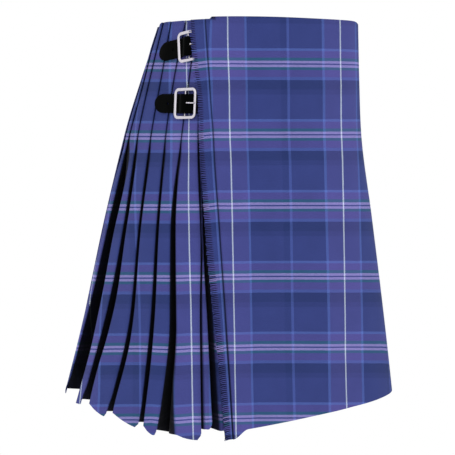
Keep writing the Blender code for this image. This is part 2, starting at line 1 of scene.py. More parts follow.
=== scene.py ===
# %% [markdown]
# # A Scottish kilt
# A kilt is one long length of tartan wool. Its two ends lie flat over each other in front, as the
# under apron and the over apron, and the rest is folded into knife pleats round the back. The
# lesson dresses the packed model: it lays a fine cloth over each plain wall, then adds the fringe,
# the straps and the buckles.
#
# Three numbers place a point on the cloth, in millimetres: how far *along* the outline it lies
# from the middle of the front, how far it *drops* below the top edge, and how deep it is *inset*.

# %% Load the packed model
import functools
import math

import bmesh
import bpy
import numpy as np
from mathutils import Matrix, Vector


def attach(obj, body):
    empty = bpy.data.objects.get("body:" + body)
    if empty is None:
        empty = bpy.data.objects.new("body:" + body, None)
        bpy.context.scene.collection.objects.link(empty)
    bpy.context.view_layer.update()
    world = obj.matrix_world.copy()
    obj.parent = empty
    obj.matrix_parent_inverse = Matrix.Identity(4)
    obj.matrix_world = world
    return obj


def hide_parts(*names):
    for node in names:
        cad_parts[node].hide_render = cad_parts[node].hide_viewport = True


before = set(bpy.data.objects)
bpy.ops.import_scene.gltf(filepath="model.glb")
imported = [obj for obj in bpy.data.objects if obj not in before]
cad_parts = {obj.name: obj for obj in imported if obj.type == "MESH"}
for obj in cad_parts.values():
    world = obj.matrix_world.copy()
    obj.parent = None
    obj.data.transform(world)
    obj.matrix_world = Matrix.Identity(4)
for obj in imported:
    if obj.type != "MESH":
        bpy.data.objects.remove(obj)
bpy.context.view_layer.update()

MM = 0.001
print("packed nodes:", sorted(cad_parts))

# %% [markdown]
# ## Camera, floor and light
# Cloth reads best in wide, soft light. A white sweep runs under the kilt and up all round it and
# glows evenly, so there is no horizon line and no hard shadow. One large lamp stands in front and
# weaker ones stand at the sides and the back, which give the pleats a little shape.

# %% Camera
CAMERA_PLACE = (-1.317, -1.489, -0.058)
CAMERA_TURN = math.radians(40.08)
CAMERA_TILT = math.radians(6.0)
CAMERA_LENS = 102.1
CAMERA_SENSOR = 36.0
camera_data = bpy.data.cameras.new("camera")
camera_data.lens = CAMERA_LENS
camera_data.sensor_width = CAMERA_SENSOR
camera = bpy.data.objects.new("camera", camera_data)
camera.location = CAMERA_PLACE
camera.rotation_euler = (math.radians(90) - CAMERA_TILT, 0, -CAMERA_TURN)
bpy.context.scene.collection.objects.link(camera)
bpy.context.scene.camera = camera
print("camera lens, mm:", CAMERA_LENS)

# %% Floor and sweep
FLOOR_LEVEL = -0.80
FLOOR_RADIUS = 5.0
SWEEP_RADIUS = 3.0
WALL_TOP = 9.0
SWEEP_STEPS = 12
FLOOR_TURNS = 48


def floor_sweep():
    """A white floor that curves up into a wall all round."""
    profile = [(FLOOR_RADIUS, FLOOR_LEVEL)]
    for step in range(1, SWEEP_STEPS + 1):
        angle = math.radians(90 * step / SWEEP_STEPS)
        rise = SWEEP_RADIUS * (1 - math.cos(angle))
        profile.append((FLOOR_RADIUS + SWEEP_RADIUS * math.sin(angle), FLOOR_LEVEL + rise))
    profile.append((FLOOR_RADIUS + SWEEP_RADIUS, WALL_TOP))
    mesh = bmesh.new()
    middle = mesh.verts.new((0, 0, FLOOR_LEVEL))
    angles = [2 * math.pi * k / FLOOR_TURNS for k in range(FLOOR_TURNS)]
    loops = [
        [mesh.verts.new((radius * math.cos(a), radius * math.sin(a), height)) for a in angles]
        for radius, height in profile
    ]
    for k in range(FLOOR_TURNS):
        mesh.faces.new((middle, loops[0][k], loops[0][(k + 1) % FLOOR_TURNS]))
    for low, high in zip(loops, loops[1:]):
        for k in range(FLOOR_TURNS):
            j = (k + 1) % FLOOR_TURNS
            mesh.faces.new((low[k], high[k], high[j], low[j]))
    data = bpy.data.meshes.new("floor")
    mesh.to_mesh(data)
    mesh.free()
    data.shade_smooth()
    item = bpy.data.objects.new("floor", data)
    bpy.context.scene.collection.objects.link(item)
    print("floor faces:", len(data.polygons))
    return item


floor = floor_sweep()
floor_paint = bpy.data.materials.new("floor_paint")
floor_paint.use_nodes = True
floor_shader = floor_paint.node_tree.nodes["Principled BSDF"]
floor_shader.inputs["Base Color"].default_value = (0.0, 0.0, 0.0, 1)
floor_shader.inputs["Specular IOR Level"].default_value = 0.0
floor_shader.inputs["Emission Color"].default_value = (1.0, 1.0, 1.0, 1)
floor_shader.inputs["Emission Strength"].default_value = 1.0
floor.data.materials.append(floor_paint)

# %% Lamps
world = bpy.data.worlds.new("studio")
bpy.context.scene.world = world
world.use_nodes = True
world.node_tree.nodes["Background"].inputs["Color"].default_value = (1.0, 1.0, 1.0, 1)
world.node_tree.nodes["Background"].inputs["Strength"].default_value = 1.0
bpy.context.scene.view_settings.view_transform = "Standard"
bpy.context.scene.view_settings.look = "None"

# Each row: name, place, what it looks at, size across, watts.
LAMPS = (
    ("front", (-1.2, -2.6, 1.5), (0, 0, -0.25), 2.2, 18),
    ("side", (-2.8, 0.4, 0.9), (0, 0, -0.25), 1.8, 6),
    ("far_side", (2.6, -1.2, 1.1), (0, 0, -0.25), 1.8, 8),
    ("back", (0.6, 2.8, 1.4), (0, 0.1, -0.25), 1.8, 10),
)
for name, place_at, target, size, watts in LAMPS:
    lamp_data = bpy.data.lights.new(name, "AREA")
    lamp_data.size = size
    lamp_data.energy = watts
    lamp = bpy.data.objects.new(name, lamp_data)
    lamp.location = place_at
    lamp.rotation_euler = (Vector(target) - Vector(place_at)).to_track_quat("-Z", "Y").to_euler()
    bpy.context.scene.collection.objects.link(lamp)
print("lamps:", len(LAMPS))

# %% [markdown]
# ## The outline of the body of the kilt
# The cloth follows a rounded square that is narrow at the waist and wide at the hem. Six rows give
# its half width and its depth to the front and the back, and a smooth curve runs through them.
# A point is then found by walking along the outline and stepping inward.

# %% Outline
TOP = 45.0
LENGTH = 585.0
CLOTH = 1.2
GAP = 0.4
LAYER = CLOTH + GAP
FELL = 170.0
SQUARENESS = 2.9
OUTLINE_STEPS = 1440
OUTLINE_COLUMNS = ("drop", "half_width", "front", "back")
OUTLINE = (
    (0, 146, 122, 131),
    (80, 155, 117, 174),
    (170, 165, 114, 221),
    (300, 190, 120, 256),
    (430, 214, 125, 287),
    (585, 243, 127, 330),
)


@functools.lru_cache(maxsize=None)
def slopes_of(stations, values):
    """The slope of a smooth curve at each of its stations."""
    xs = np.asarray(stations, float)
    ys = np.asarray(values, float)
    rises = np.diff(ys) / np.diff(xs)
    product = rises[:-1] * rises[1:]
    total = rises[:-1] + rises[1:]
    inner = np.where(product > 0, 2 * product / np.where(total == 0, 1, total), 0.0)
    return np.concatenate([rises[:1], inner, rises[-1:]])


def curve(stations, values, place):
    """A smooth curve through the values that doesn't overshoot them, read at one place."""
    slopes = slopes_of(tuple(stations), tuple(values))
    place = min(max(place, stations[0]), stations[-1])
    k = min(int(np.searchsorted(stations, place, "right")) - 1, len(stations) - 2)
    step = stations[k + 1] - stations[k]
    t = (place - stations[k]) / step
    start = (2 * t**3 - 3 * t**2 + 1) * values[k] + (t**3 - 2 * t**2 + t) * step * slopes[k]
    end = (3 * t**2 - 2 * t**3) * values[k + 1] + (t**3 - t**2) * step * slopes[k + 1]
    return float(start + end)


def table(rows, columns, column, place):
    """One named column of a table, read between its rows."""
    index = columns.index(column)
    return curve([row[0] for row in rows], [row[index] for row in rows], place)


def ease(low, high, value):
    """0 below low, 1 above high, and a smooth step between them."""
    t = np.clip((value - low) / (high - low), 0.0, 1.0)
    return t * t * (3 - 2 * t)


def walked_along(path):
    """How far each point of a path lies from its first one, along it."""
    return np.concatenate([[0.0], np.cumsum(np.linalg.norm(np.diff(path, axis=0), axis=1))])


@functools.lru_cache(maxsize=None)
def ring(drop):
    """The outline at a drop: its points, its outward directions, and distances along it."""
    angles = np.radians(np.linspace(-90, 270, OUTLINE_STEPS + 1))
    half_width, front, back = (
        table(OUTLINE, OUTLINE_COLUMNS, column, drop) for column in OUTLINE_COLUMNS[1:]
    )
    depth = np.where(np.sin(angles) < 0, front, back)
    power = np.abs(np.cos(angles) / half_width) ** SQUARENESS
    power = power + np.abs(np.sin(angles) / depth) ** SQUARENESS
    radius = power ** (-1 / SQUARENESS)
    points = np.stack([radius * np.cos(angles), radius * np.sin(angles)], axis=1)
    distances = walked_along(points)
    forward = np.gradient(points, distances, axis=0)
    forward /= np.linalg.norm(forward, axis=1)[:, None]
    outward = np.stack([forward[:, 1], -forward[:, 0]], axis=1)
    return points, outward, distances


def girth(drop):
    """How long the outline is, all the way round."""
    return float(ring(drop)[2][-1])


def from_front(along, drop):
    """Places along, counted both ways round from the middle of the front."""
    around = girth(drop)
    return (np.asarray(along, float) + around / 2) % around - around / 2


def plan(along, drop, inset):
    """The plan points of places on the cloth, which may be arrays."""
    points, outward, distances = ring(drop)
    along = np.mod(np.asarray(along, float), distances[-1])
    spot = np.stack([np.interp(along, distances, points[:, k]) for k in (0, 1)], axis=-1)
    away = np.stack([np.interp(along, distances, outward[:, k]) for k in (0, 1)], axis=-1)
    away /= np.linalg.norm(away, axis=-1, keepdims=True)
    return spot - np.asarray(inset, float)[..., None] * away


def place(along, drop, inset):
    """The point in space of one place on the cloth, in millimetres."""
    x, y = plan(along, drop, inset)
    return np.array([x, y, TOP - drop])


print("girth at waist, fell and hem, mm:", [round(girth(d)) for d in (0.0, FELL, LENGTH)])

# %% [markdown]
# ## Creases
# Pressed wool is nearly flat, but wear leaves soft troughs and ridges. They are placed one by one,
# a few on each side and uneven, and every layer moves with them, so nothing cuts through. A cloth
# simulation would lose the pressed pleats, so plain bumps are the better way here.

# %% Soft troughs and ridges
# Each row: along, drop, half width, half length, height (a trough is negative), lean.
CREASES = (
    (-120, 330, 26, 120, 1.1, 0.10),
    (-70, 470, 34, 110, -1.3, -0.06),
    (-20, 250, 30, 130, 0.9, 0.05),
    (28, 430, 28, 130, 1.5, 0.10),
    (80, 520, 26, 100, -1.4, 0.12),
    (96, 260, 30, 120, 1.0, 0.14),
    (140, 400, 28, 140, -1.3, 0.20),
    (185, 500, 26, 110, 1.6, 0.22),
    (-235, 480, 20, 100, 1.4, -0.05),
    (-330, 500, 26, 90, -1.5, -0.20),
    (-420, 470, 30, 100, 1.8, -0.25),
    (-560, 480, 38, 110, -2.0, -0.30),
    (-690, 430, 40, 120, 2.0, -0.20),
    (330, 470, 36, 110, 2.0, 0.18),
    (430, 380, 38, 120, -1.7, 0.20),
    (540, 500, 40, 100, 2.1, 0.15),
    (660, 440, 42, 120, -2.0, 0.10),
)
# The stitched part keeps flat: creases grow from nothing to full between these drops.
CREASES_GROW = (120, 260)


def drape(along, drop):
    """How far the cloth stands out, in millimetres, from the creases round one place."""
    along = from_front(along, drop)
    out = np.zeros_like(along)
    for middle, level, half_width, half_length, height, lean in CREASES:
        off = from_front(along - (middle + lean * (drop - level)), drop)
        down = (drop - level) / half_length
        out = out + height * np.exp(-((off / half_width) ** 2) - down**2)
    return out * float(ease(*CREASES_GROW, drop))


print("creases:", len(CREASES))

# %% [markdown]
# ## Weaving the wall
# Every cloth piece is made the same way: one row of points at each height, each with its place,
# how much it sags, where it lies in the tartan and the shade painted on it, darkest deep in a
# fold.
# The wall gets a real thickness by stepping half of it to each side of the row, so that it shows
# an edge at the hem.

# %% How the check lies
# The check doesn't hang level: where the cloth flares it dips. Each row gives a place along and
# how far the check lies below its level there, at each of LIE_DROPS.
LIE_DROPS = (0, 100, 200, 300, 400, 500, 585)
LIE = (
    (-900, (0, 0, 2, 4, 6, 7, 8)),
    (-700, (-2, 1, 8, 16, 24, 30, 34)),
    (-540, (-5, 2.5, 14, 27, 38, 46, 51)),
    (-450, (-5, 2.5, 13, 21.5, 28, 33, 36)),
    (-360, (-4, 2.6, 9.4, 14, 17.2, 18.8, 19.1)),
    (-280, (-1.2, 2.7, 6.3, 7.8, 7.8, 6.3, 4.1)),
    (-210, (1.7, 2.8, 3.6, 2.7, 1.1, -0.4, -1.2)),
    (-181, (2.9, 2.8, 2.7, 1.6, 0.5, 0.1, 0.5)),
    (-179, (0.4, 0, -0.3, -1.4, -2.2, -2.2, -1.5)),
    (-110, (1.2, 0, 0, 0.2, 1.1, 3.1, 5.7)),
    (-40, (-0.4, 0, 1.7, 4.1, 7.3, 11.6, 16.1)),
    (40, (-2.2, 0, 4.2, 9.2, 15, 21.7, 28.3)),
    (110, (-2.5, 0, 6.7, 14, 22, 30.8, 39.1)),
    (165, (-2, 0, 9, 18.5, 28.3, 38.8, 48.4)),
    (230, (-2, 0, 11.7, 24, 36.5, 50.5, 61)),
    (400, (-3, 0, 6, 12, 18, 25, 30)),
    (600, (0, 0, 1, 2, 3, 4, 5)),
    (900, (0, 0, 0, 0, 0, 0, 0)),
)


def lie(along, drop):
    """How far the check dips below its level at places along the cloth."""
    dips = [np.interp(drop, LIE_DROPS, row[1]) for row in LIE]
    return np.interp(from_front(along, drop), [row[0] for row in LIE], dips)


print("dip of the check at the sides of the hem, mm:", lie([-450, 165], LENGTH))

# %% Cloth from rows of points
# The top edge dips a little over the hips. Each row: a place along, and the dip there.
TOP_DIPS = ((-322, 5.5), (127, 4.0))
TOP_DIP_HALF = 21.0
TOP_DIP_ENDS = 45.0


def top_dip(along, drop):
    """How much lower the cloth hangs where its top edge dips."""
    along = from_front(along, drop)
    dips = [deep * np.exp(-(((along - middle) / TOP_DIP_HALF) ** 2)) for middle, deep in TOP_DIPS]
    return sum(dips) * (1 - float(ease(0, TOP_DIP_ENDS, drop)))


SHARP_ANGLE = math.radians(60)


def mesh_piece(name, points, faces, material):
    """A named piece from lists of points in millimetres and faces."""
    data = bpy.data.meshes.new(name)
    data.from_pydata((np.asarray(points) * MM).tolist(), [], faces)
    data.shade_smooth()
    data.set_sharp_from_angle(angle=SHARP_ANGLE)
    data.materials.append(material)
    item = bpy.data.objects.new(name, data)
    bpy.context.scene.collection.objects.link(item)
    return item


def sideways(path):
    """The mitred direction across a plan path at each of its points."""
    runs = np.diff(path, axis=0)
    runs /= np.maximum(np.linalg.norm(runs, axis=1), 1e-6)[:, None]
    before = np.vstack([runs[:1], runs])
    after = np.vstack([runs, runs[-1:]])
    right_before = np.stack([before[:, 1], -before[:, 0]], axis=1)
    right_after = np.stack([after[:, 1], -after[:, 0]], axis=1)
    spread = 1 + np.sum(right_before * right_after, axis=1)
    return (right_before + right_after) / np.maximum(spread, 0.5)[:, None]


def sheet_faces(rows, columns):
    """Faces of two grids of points, the second after the first and turned the other way."""
    under = rows * columns
    faces = []
    for r in range(rows - 1):
        for c in range(columns - 1):
            a = r * columns + c
            b, d, e = a + 1, a + columns, a + columns + 1
            faces.append((a, d, e, b))
            faces.append((under + a, under + b, under + e, under + d))
    return faces


def mark_weave(item, spots, shades):
    """Stores where the points lie in the tartan, in metres, and the painted shade of each one,
    uneven at random on the yarns.
    """
    corners = np.zeros(len(item.data.loops), int)
    item.data.loops.foreach_get("vertex_index", corners)
    layer = item.data.uv_layers.new(name="weave")
    layer.data.foreach_set("uv", spots[corners % len(spots)].ravel())
    shade = item.data.attributes.new("shade", "FLOAT", "POINT")
    shade.data.foreach_set("value", shades)


def woven_wall(name, drops, row_at, material, dips=lie):
    """A wall of cloth. row_at(drop) gives along, inset, sag, place in the tartan and shades."""
    outer, inner, weave, shades, inner_shades = [], [], [], [], []
    for drop in drops:
        along, inset, sag, warp, shade, *rest = (np.asarray(v, float) for v in row_at(drop))
        path = plan(along, drop, inset - drape(along, drop))
        across = sideways(path) * CLOTH / 2
        height = TOP - drop - sag - top_dip(along, drop)
        outer.append(np.column_stack([path + across, height]))
        inner.append(np.column_stack([path - across, height]))
        weave.append(np.column_stack([warp, drop + sag - dips(along, drop)]))
        shades.append(shade)
        inner_shades.append(rest[0] if rest else shade)
    rows, columns = len(outer), len(outer[0])
    faces = sheet_faces(rows, columns)
    under = rows * columns
    low = (rows - 1) * columns
    for c in range(columns - 1):
        faces.append((c, c + 1, under + c + 1, under + c))
        faces.append((low + c, under + low + c, under + low + c + 1, low + c + 1))
    right = columns - 1
    for r in range(rows - 1):
        a, d = r * columns, (r + 1) * columns
        faces.append((a, under + a, under + d, d))
        faces.append((a + right, d + right, under + d + right, under + a + right))
    item = mesh_piece(name, np.concatenate(outer + inner), faces, material)
    mark_weave(item, np.concatenate(weave) * MM, np.concatenate(shades + inner_shades))
    print(name, "rows", rows, "columns", columns, "faces", len(faces))
    return item


def dress(item, finish, *nodes):
    """Puts a piece on the kilt's body, in place of these packed nodes. Its finish is not used."""
    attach(item, "root")
    if nodes:
        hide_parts(*nodes)


# %% [markdown]
# ## The tartan
# A tartan has one set of stripes down the cloth, the warp, and another across it, the weft. Each
# is charted here as bands in millimetres, and a twill lets the warp show on one thread and the
# weft on the next, so crossings take the mean of two colours. Drawing the mixed colours as squares
# would be simpler, but it would lose the slanting lines of the twill.

# %% Stripe charts
NAVY = (0.034, 0.049, 0.190)
NAVY_SHADED = (0.026, 0.041, 0.160)
NAVY_DEEP = (0.014, 0.027, 0.100)
NAVY_MIDDLE = (0.024, 0.037, 0.145)
PLUM = (0.075, 0.076, 0.277)
VIOLET = (0.086, 0.074, 0.284)
BLUE = (0.086, 0.140, 0.440)
BLUE_SOFT = (0.070, 0.110, 0.370)
WHITE = (0.660, 0.750, 0.885)
PINK = (0.360, 0.310, 0.680)
TEAL = (0.020, 0.120, 0.168)

WARP_SETT = 207.0
# Each row: where the band ends, counted from a white line, and its colour.
WARP_BANDS = (
    (1.35, WHITE),
    (29.2, PLUM),
    (33.8, BLUE),
    (95.0, NAVY),
    (107.4, NAVY_SHADED),
    (111.8, BLUE_SOFT),
    (172.9, NAVY),
    (177.5, BLUE),
    (205.65, PLUM),
    (207.0, WHITE),
)
WEFT_SETT = 100.5
# Each row: where the band ends, counted from between the two pink lines, and its colour.
WEFT_BANDS = (
    (1.15, NAVY),
    (4.35, PINK),
    (8.4, TEAL),
    (18.5, VIOLET),
    (23.0, BLUE_SOFT),
    (36.5, NAVY_DEEP),
    (43.5, NAVY_MIDDLE),
    (78.2, NAVY),
    (81.8, BLUE),
    (91.5, VIOLET),
    (96.1, TEAL),
    (99.35, PINK),
    (100.5, NAVY),
)
WEFT_START = 63.0
print("bands:", len(WARP_BANDS), "down and", len(WEFT_BANDS), "across")

# %% Node helpers
# How far threads and pebbles stand out, in metres.
BUMP_DEPTH = 0.0002


class Graph:
    """Short ways to add nodes to a tree and join them."""

    def __init__(self, tree):
        self.tree = tree

    def add(self, kind, **settings):
        node = self.tree.nodes.new(kind)
        for key, value in settings.items():
            setattr(node, key, value)
        return node

    def feed(self, socket, value):
        if isinstance(value, bpy.types.NodeSocket):
            self.tree.links.new(value, socket)
        else:
            socket.default_value = value

    def math(self, operation, *values):
        node = self.add("ShaderNodeMath", operation=operation)
        for socket, value in zip(node.inputs, values):
            self.feed(socket, value)
        return node.outputs[0]

    def mix(self, share, first, second, blend="MIX"):
        node = self.add("ShaderNodeMix", data_type="RGBA", blend_type=blend)
        self.feed(node.inputs[0], share)
        self.feed(node.inputs[6], first)
        self.feed(node.inputs[7], second)
        return node.outputs[2]

    def noise(self, vector, scale, detail=2.0):
        node = self.add("ShaderNodeTexNoise")
        self.feed(node.inputs["Vector"], vector)
        node.inputs["Scale"].default_value = scale
        node.inputs["Detail"].default_value = detail
        return node.outputs["Fac"]

    def remap(self, value, from_low, from_high, to_low, to_high):
        node = self.add("ShaderNodeMapRange")
        for socket, number in zip(node.inputs, (value, from_low, from_high, to_low, to_high)):
            self.feed(socket, number)
        return node.outputs[0]

    def bump(self, height, strength):
        node = self.add("ShaderNodeBump")
        node.inputs["Strength"].default_value = strength
        node.inputs["Distance"].default_value = BUMP_DEPTH
        self.feed(node.inputs["Height"], height)
        return node.outputs[0]

    def bands(self, value, sett, rows):
        """Hard-edged stripes from a table of (end, colour), repeated every sett."""
        turn = self.math("FRACT", self.math("DIVIDE", value, sett * MM))
        ramp = self.add("ShaderNodeValToRGB")
        ramp.color_ramp.interpolation = "CONSTANT"
        elements = ramp.color_ramp.elements
        starts = [0.0] + [end / sett for end, _ in rows[:-1]]
        while len(elements) < len(rows):
            elements.new(1.0)
        for element, start, (_, colour) in zip(list(elements), starts, rows):
            element.position = start
            element.color = (*colour, 1)
        self.feed(ramp.inputs[0], turn)
        return ramp.outputs[0]


def new_group(name, inputs, outputs):
    """A shader group with named sockets. Each row of inputs is (name, kind, default)."""
    group = bpy.data.node_groups.new(name, "ShaderNodeTree")
    for title, kind, default in inputs:
        socket = group.interface.new_socket(name=title, in_out="INPUT", socket_type=kind)
        if default is not None:
            socket.default_value = default
    for title, kind in outputs:
        group.interface.new_socket(name=title, in_out="OUTPUT", socket_type=kind)
    graph = Graph(group)
    return group, graph, graph.add("NodeGroupInput"), graph.add("NodeGroupOutput")


def new_material(name, roughness, **numbers):
    """A material with its plain numbers set, and a graph to build on."""
    material = bpy.data.materials.new(name)
    material.use_nodes = True
    shader = material.node_tree.nodes["Principled BSDF"]
    shader.inputs["Roughness"].default_value = roughness
    for key, value in numbers.items():
        shader.inputs[key.replace("_", " ")].default_value = value
    return material, Graph(material.node_tree), shader


print("node helpers:", [name for name in vars(Graph) if name[0] != "_"])

# %% Twill weave group
TWILL_PITCH = 2.2 * MM
# How far the stripes' edges waver, in metres, and how much warp shows in each thread.
WAVER = 0.00025
WARP_SHOWS = (0.15, 0.85)
# Each row: noise scale, and the lightness at its low and its high end.
FIBRE = (750.0, 0.76, 1.24)
MOTTLE = (22.0, 0.95, 1.05)
WAVER_SCALE = 90.0
FIBRE_RELIEF = 1.5


def twill_group():
    """Tartan colour and thread relief from a place on the cloth, in metres."""
    group, graph, inlet, outlet = new_group(
        "tartan_twill",
        (("Place", "NodeSocketVector", None), ("Shade", "NodeSocketFloat", 1.0)),
        (("Color", "NodeSocketColor"), ("Height", "NodeSocketFloat")),
    )
    split = graph.add("ShaderNodeSeparateXYZ")
    graph.feed(split.inputs[0], inlet.outputs["Place"])
    across, down = split.outputs[0], split.outputs[1]
    wobble = graph.noise(inlet.outputs["Place"], WAVER_SCALE)
    wobble = graph.remap(wobble, 0.0, 1.0, -WAVER, WAVER)
    across = graph.math("ADD", across, wobble)
    down = graph.math("ADD", down, wobble)
    warp = graph.bands(across, WARP_SETT, WARP_BANDS)
    weft = graph.bands(graph.math("SUBTRACT", down, WEFT_START * MM), WEFT_SETT, WEFT_BANDS)
    slant = graph.math("DIVIDE", graph.math("ADD", across, down), TWILL_PITCH)
    wave = graph.math("SINE", graph.math("MULTIPLY", slant, 2 * math.pi))
    lean = graph.remap(wave, -0.5, 0.5, *WARP_SHOWS)
    cloth = graph.mix(lean, weft, warp)
    fibre = graph.noise(inlet.outputs["Place"], FIBRE[0], 3.0)
    mottle = graph.noise(inlet.outputs["Place"], MOTTLE[0], 3.0)
    lightness = graph.math(
        "MULTIPLY",
        graph.remap(fibre, 0.25, 0.75, *FIBRE[1:]),
        graph.remap(mottle, 0.3, 0.7, *MOTTLE[1:]),
    )
    # Random fibre and mottle lightness, times the painted shade stored on the cloth.
    dark = graph.math("MULTIPLY", lightness, inlet.outputs["Shade"])
    graph.feed(outlet.inputs["Color"], graph.mix(1.0, cloth, dark, "MULTIPLY"))
    rough = graph.math("MULTIPLY", fibre, FIBRE_RELIEF)
    graph.feed(outlet.inputs["Height"], graph.math("ADD", wave, rough))
    return group


twill = twill_group()


def cloth_material(name, bump):
    """Wool twill: matt, with a little sheen from its nap."""
    material, graph, shader = new_material(
        name, 0.85, Specular_IOR_Level=0.06, Sheen_Weight=0.02, Sheen_Roughness=0.5
    )
    weave = graph.add("ShaderNodeUVMap", uv_map="weave")
    # The painted shade stored on each point, which darkens the tartan in folds and under edges.
    shade = graph.add("ShaderNodeAttribute", attribute_name="shade")
    cloth = graph.add("ShaderNodeGroup", node_tree=twill)
    graph.feed(cloth.inputs["Place"], weave.outputs[0])
    graph.feed(cloth.inputs["Shade"], shade.outputs["Fac"])
    graph.feed(shader.inputs["Base Color"], cloth.outputs["Color"])
    graph.feed(shader.inputs["Normal"], graph.bump(cloth.outputs["Height"], bump))
    return material


tartan = cloth_material("tartan_cloth", 0.5)
print("tartan material made")

# %% [markdown]
# ## The pleats
# Each knife pleat is a face, a fold edge, a return that runs back under the face, and a deep fold
# from which the next face comes out. Down to the fell the folds are stitched shut; below it they
# open. A table gives each fold's edge at six heights. The edges are then rounded, because wool
# never folds sharply.

# %% Fold tables
APRON_COLUMNS = ("drop", "right_edge", "left_edge", "right_lift", "left_lift", "fringe_end")
APRON = (
    (0, -175, 190, 7.0, 4.4, -208),
    (38, -169.5, 196, 8.9, 5.4, -200),
    (80, -166.5, 203, 6.4, 3.8, -194),
    (120, -164, 213, 4.9, 0.8, -188),
    (170, -161, 230, 3.1, 0, -187.5),
    (300, -160.5, 255, 1.4, 0, -183.5),
    (430, -158, 278, 1.2, 0, -177),
    (585, -151, 300, 1.0, 0, -165.5),
)


def apron(column, drop):
    """One measure of the over apron at a drop."""
    return table(APRON, APRON_COLUMNS, column, drop)


PLEATS_BEHIND = 13
HIDDEN_DEPTH = 14.0
PLY = 1.5
TUCK = 0.5
FACE_STEP = 0.7
FACE_BELLY = 1.8
FOLD_DROPS = (0, 80, 170, 300, 430, 585)
GAP_DROPS = (218, 300, 430, 500, 585)
# Each row: name, edge at each of FOLD_DROPS, gap at each of GAP_DROPS, depth, and how much lower
# the hem hangs at the fold's edge, deep behind it and where the next face starts.
FOLDS = (
    ("A", (-320, -337, -373, -424, -476, -560), (32, 33, 50, 64, 72), 0.0, (2, 0, 0)),
    ("B", (-286, -312, -338, -364, -399, -463), (10, 10, 18, 18, 25), 0.0, (-2, 0, -10)),
    ("C", (-261, -277, -298, -321, -336, -385), (7, 6, 8, 11, 14), 0.0, (1, 2, -9)),
    ("D", (-225, -245, -261, -277.5, -286, -304), (5, 6, 9, 10, 9), 0.8, (1.5, 3, -4.5)),
    ("E", (-202, -212, -225.5, -246, -245, -268), (6, 11, 12, 15, 30), 2.8, (7, 12, 1.5)),
    ("F", (-186, -190.5, -191.5, -190.2, -196, -198.5), (2, 2, 3, 3.5, 4), 4.6, (10, 0, -5)),
    ("G", (-172, -181, -187, -188, -184.5, -181), (6, 8, 9, 10, 12), 7.0, (-4, -5, 0)),
    ("H", (-150, -152, -154, -155, -150, -146), (5, 8, 10, 12, 14), 7.8, (0, 0, 0)),
)
BEHIND_GAP = (6, 10, 14, 17, 20)
BEHIND_UNEVEN = 3.0
BEHIND_SAG = 2.0
# How unevenly the folds behind open and hang, as shares.
BEHIND_GAP_SWING = 0.35
BEHIND_SAG_SWING = 0.6
RECESS_COLUMNS = ("drop", "depth", "lean", "open", "sunk")
RECESS = (
    (0, 10, 10, 0, 0),
    (170, 10, 10, 0, 0),
    (192, 14, 10, 0.4, 0.2),
    (218, 18, 11, 0.8, 0.5),
    (262, 26, 13, 1, 0.9),
    (320, 31, 14, 1, 1),
    (430, 38, 15, 1, 1),
    (585, 44, 17, 1, 1),
)
SAG_STARTS = 470.0
# An open fold: how far it steps back at its edge, and how wide, in plies, and how high it turns.
OPEN_STEP = 0.4
DEEP_TURN = 1.8
DEEP_RISE = 0.6


def recess(column, drop):
    """One measure of the space inside a fold at a drop."""
    return table(RECESS, RECESS_COLUMNS, column, drop)


def hem_sag(drop, amount):
    """How much lower a pleat's tip hangs near the hem."""
    return amount * float(ease(SAG_STARTS, LENGTH, drop))


@functools.lru_cache(maxsize=None)
def folds_at(drop):
    """Every fold edge at a drop, from the over apron's left edge round the back to fold H."""
    around = girth(drop)
    left = apron("left_edge", drop)
    first = around + curve(FOLD_DROPS, FOLDS[0][1], drop)
    found = [(left, 0.0, 0.0, (0.0, 0.0, 0.0))]
    for k in range(1, PLEATS_BEHIND + 1):
        swing = BEHIND_UNEVEN * math.sin(2.4 * k) * float(ease(FELL, LENGTH, drop))
        along = left + (first - left) * k / (PLEATS_BEHIND + 1) + swing
        gap = curve(GAP_DROPS, BEHIND_GAP, drop) * (1 + BEHIND_GAP_SWING * math.sin(1.7 * k))
        sag = hem_sag(drop, BEHIND_SAG * (1 + BEHIND_SAG_SWING * math.sin(2.9 * k)))
        found.append((along, gap, 0.0, (sag, 0.0, -sag)))
    for _, edges, gaps, depth, sags in FOLDS:
        along = around + curve(FOLD_DROPS, edges, drop)
        sags = tuple(hem_sag(drop, sag) for sag in sags)
        found.append((along, curve(GAP_DROPS, gaps, drop), depth, sags))
    return tuple(found)


def mix(start, end, share):
    """The point this share of the way from one point to another."""
    return tuple(a + (b - a) * share for a, b in zip(start, end))


def tuck_under(fold, slope, drop):
    """The points where the cloth turns under one fold: edge, return, and the two deep points."""
    along, _, depth, (sag, deep_sag, _) = fold
    level = depth + CLOTH / 2
    deep = recess("depth", drop)
    lean = recess("lean", drop)
    sunk = recess("sunk", drop)
    fallen = slope * HIDDEN_DEPTH
    edge = (along, level, sag)
    shut_return = (along, level + PLY, sag)
    open_return = (along - OPEN_STEP, level + PLY + OPEN_STEP, sag)
    shut_far = (along - HIDDEN_DEPTH, level + PLY + fallen, deep_sag)
    open_far = (along - lean, level + deep, deep_sag)
    shut_near = (along - HIDDEN_DEPTH, level + 2 * PLY + fallen, deep_sag)
    open_near = (along - lean + DEEP_TURN * PLY, level + deep + DEEP_RISE, deep_sag)
    return (
        edge,
        mix(shut_return, open_return, sunk),
        mix(shut_far, open_far, sunk),
        mix(shut_near, open_near, sunk),
    )


def face_start(fold, drop):
    """Where the next pleat's face comes out from beneath a fold."""
    along, gap, depth, (_, _, sag) = fold
    opened = recess("open", drop) if gap > 0 else 0.0
    level = depth + CLOTH / 2
    belly = FACE_BELLY * 4 * opened * (1 - opened)
    shut = (along - TUCK, level + 2 * PLY + belly, sag)
    wide = (along + gap + CLOTH, level + FACE_STEP + belly, sag)
    return mix(shut, wide, opened)


def face_slope(start, fold):
    """How steeply a pleat's face falls from its fold edge back to its start."""
    run = max(fold[0] - start[0], 1.0)
    return (start[1] - fold[2] - CLOTH / 2) / run


print("folds:", len(folds_at(0.0)))

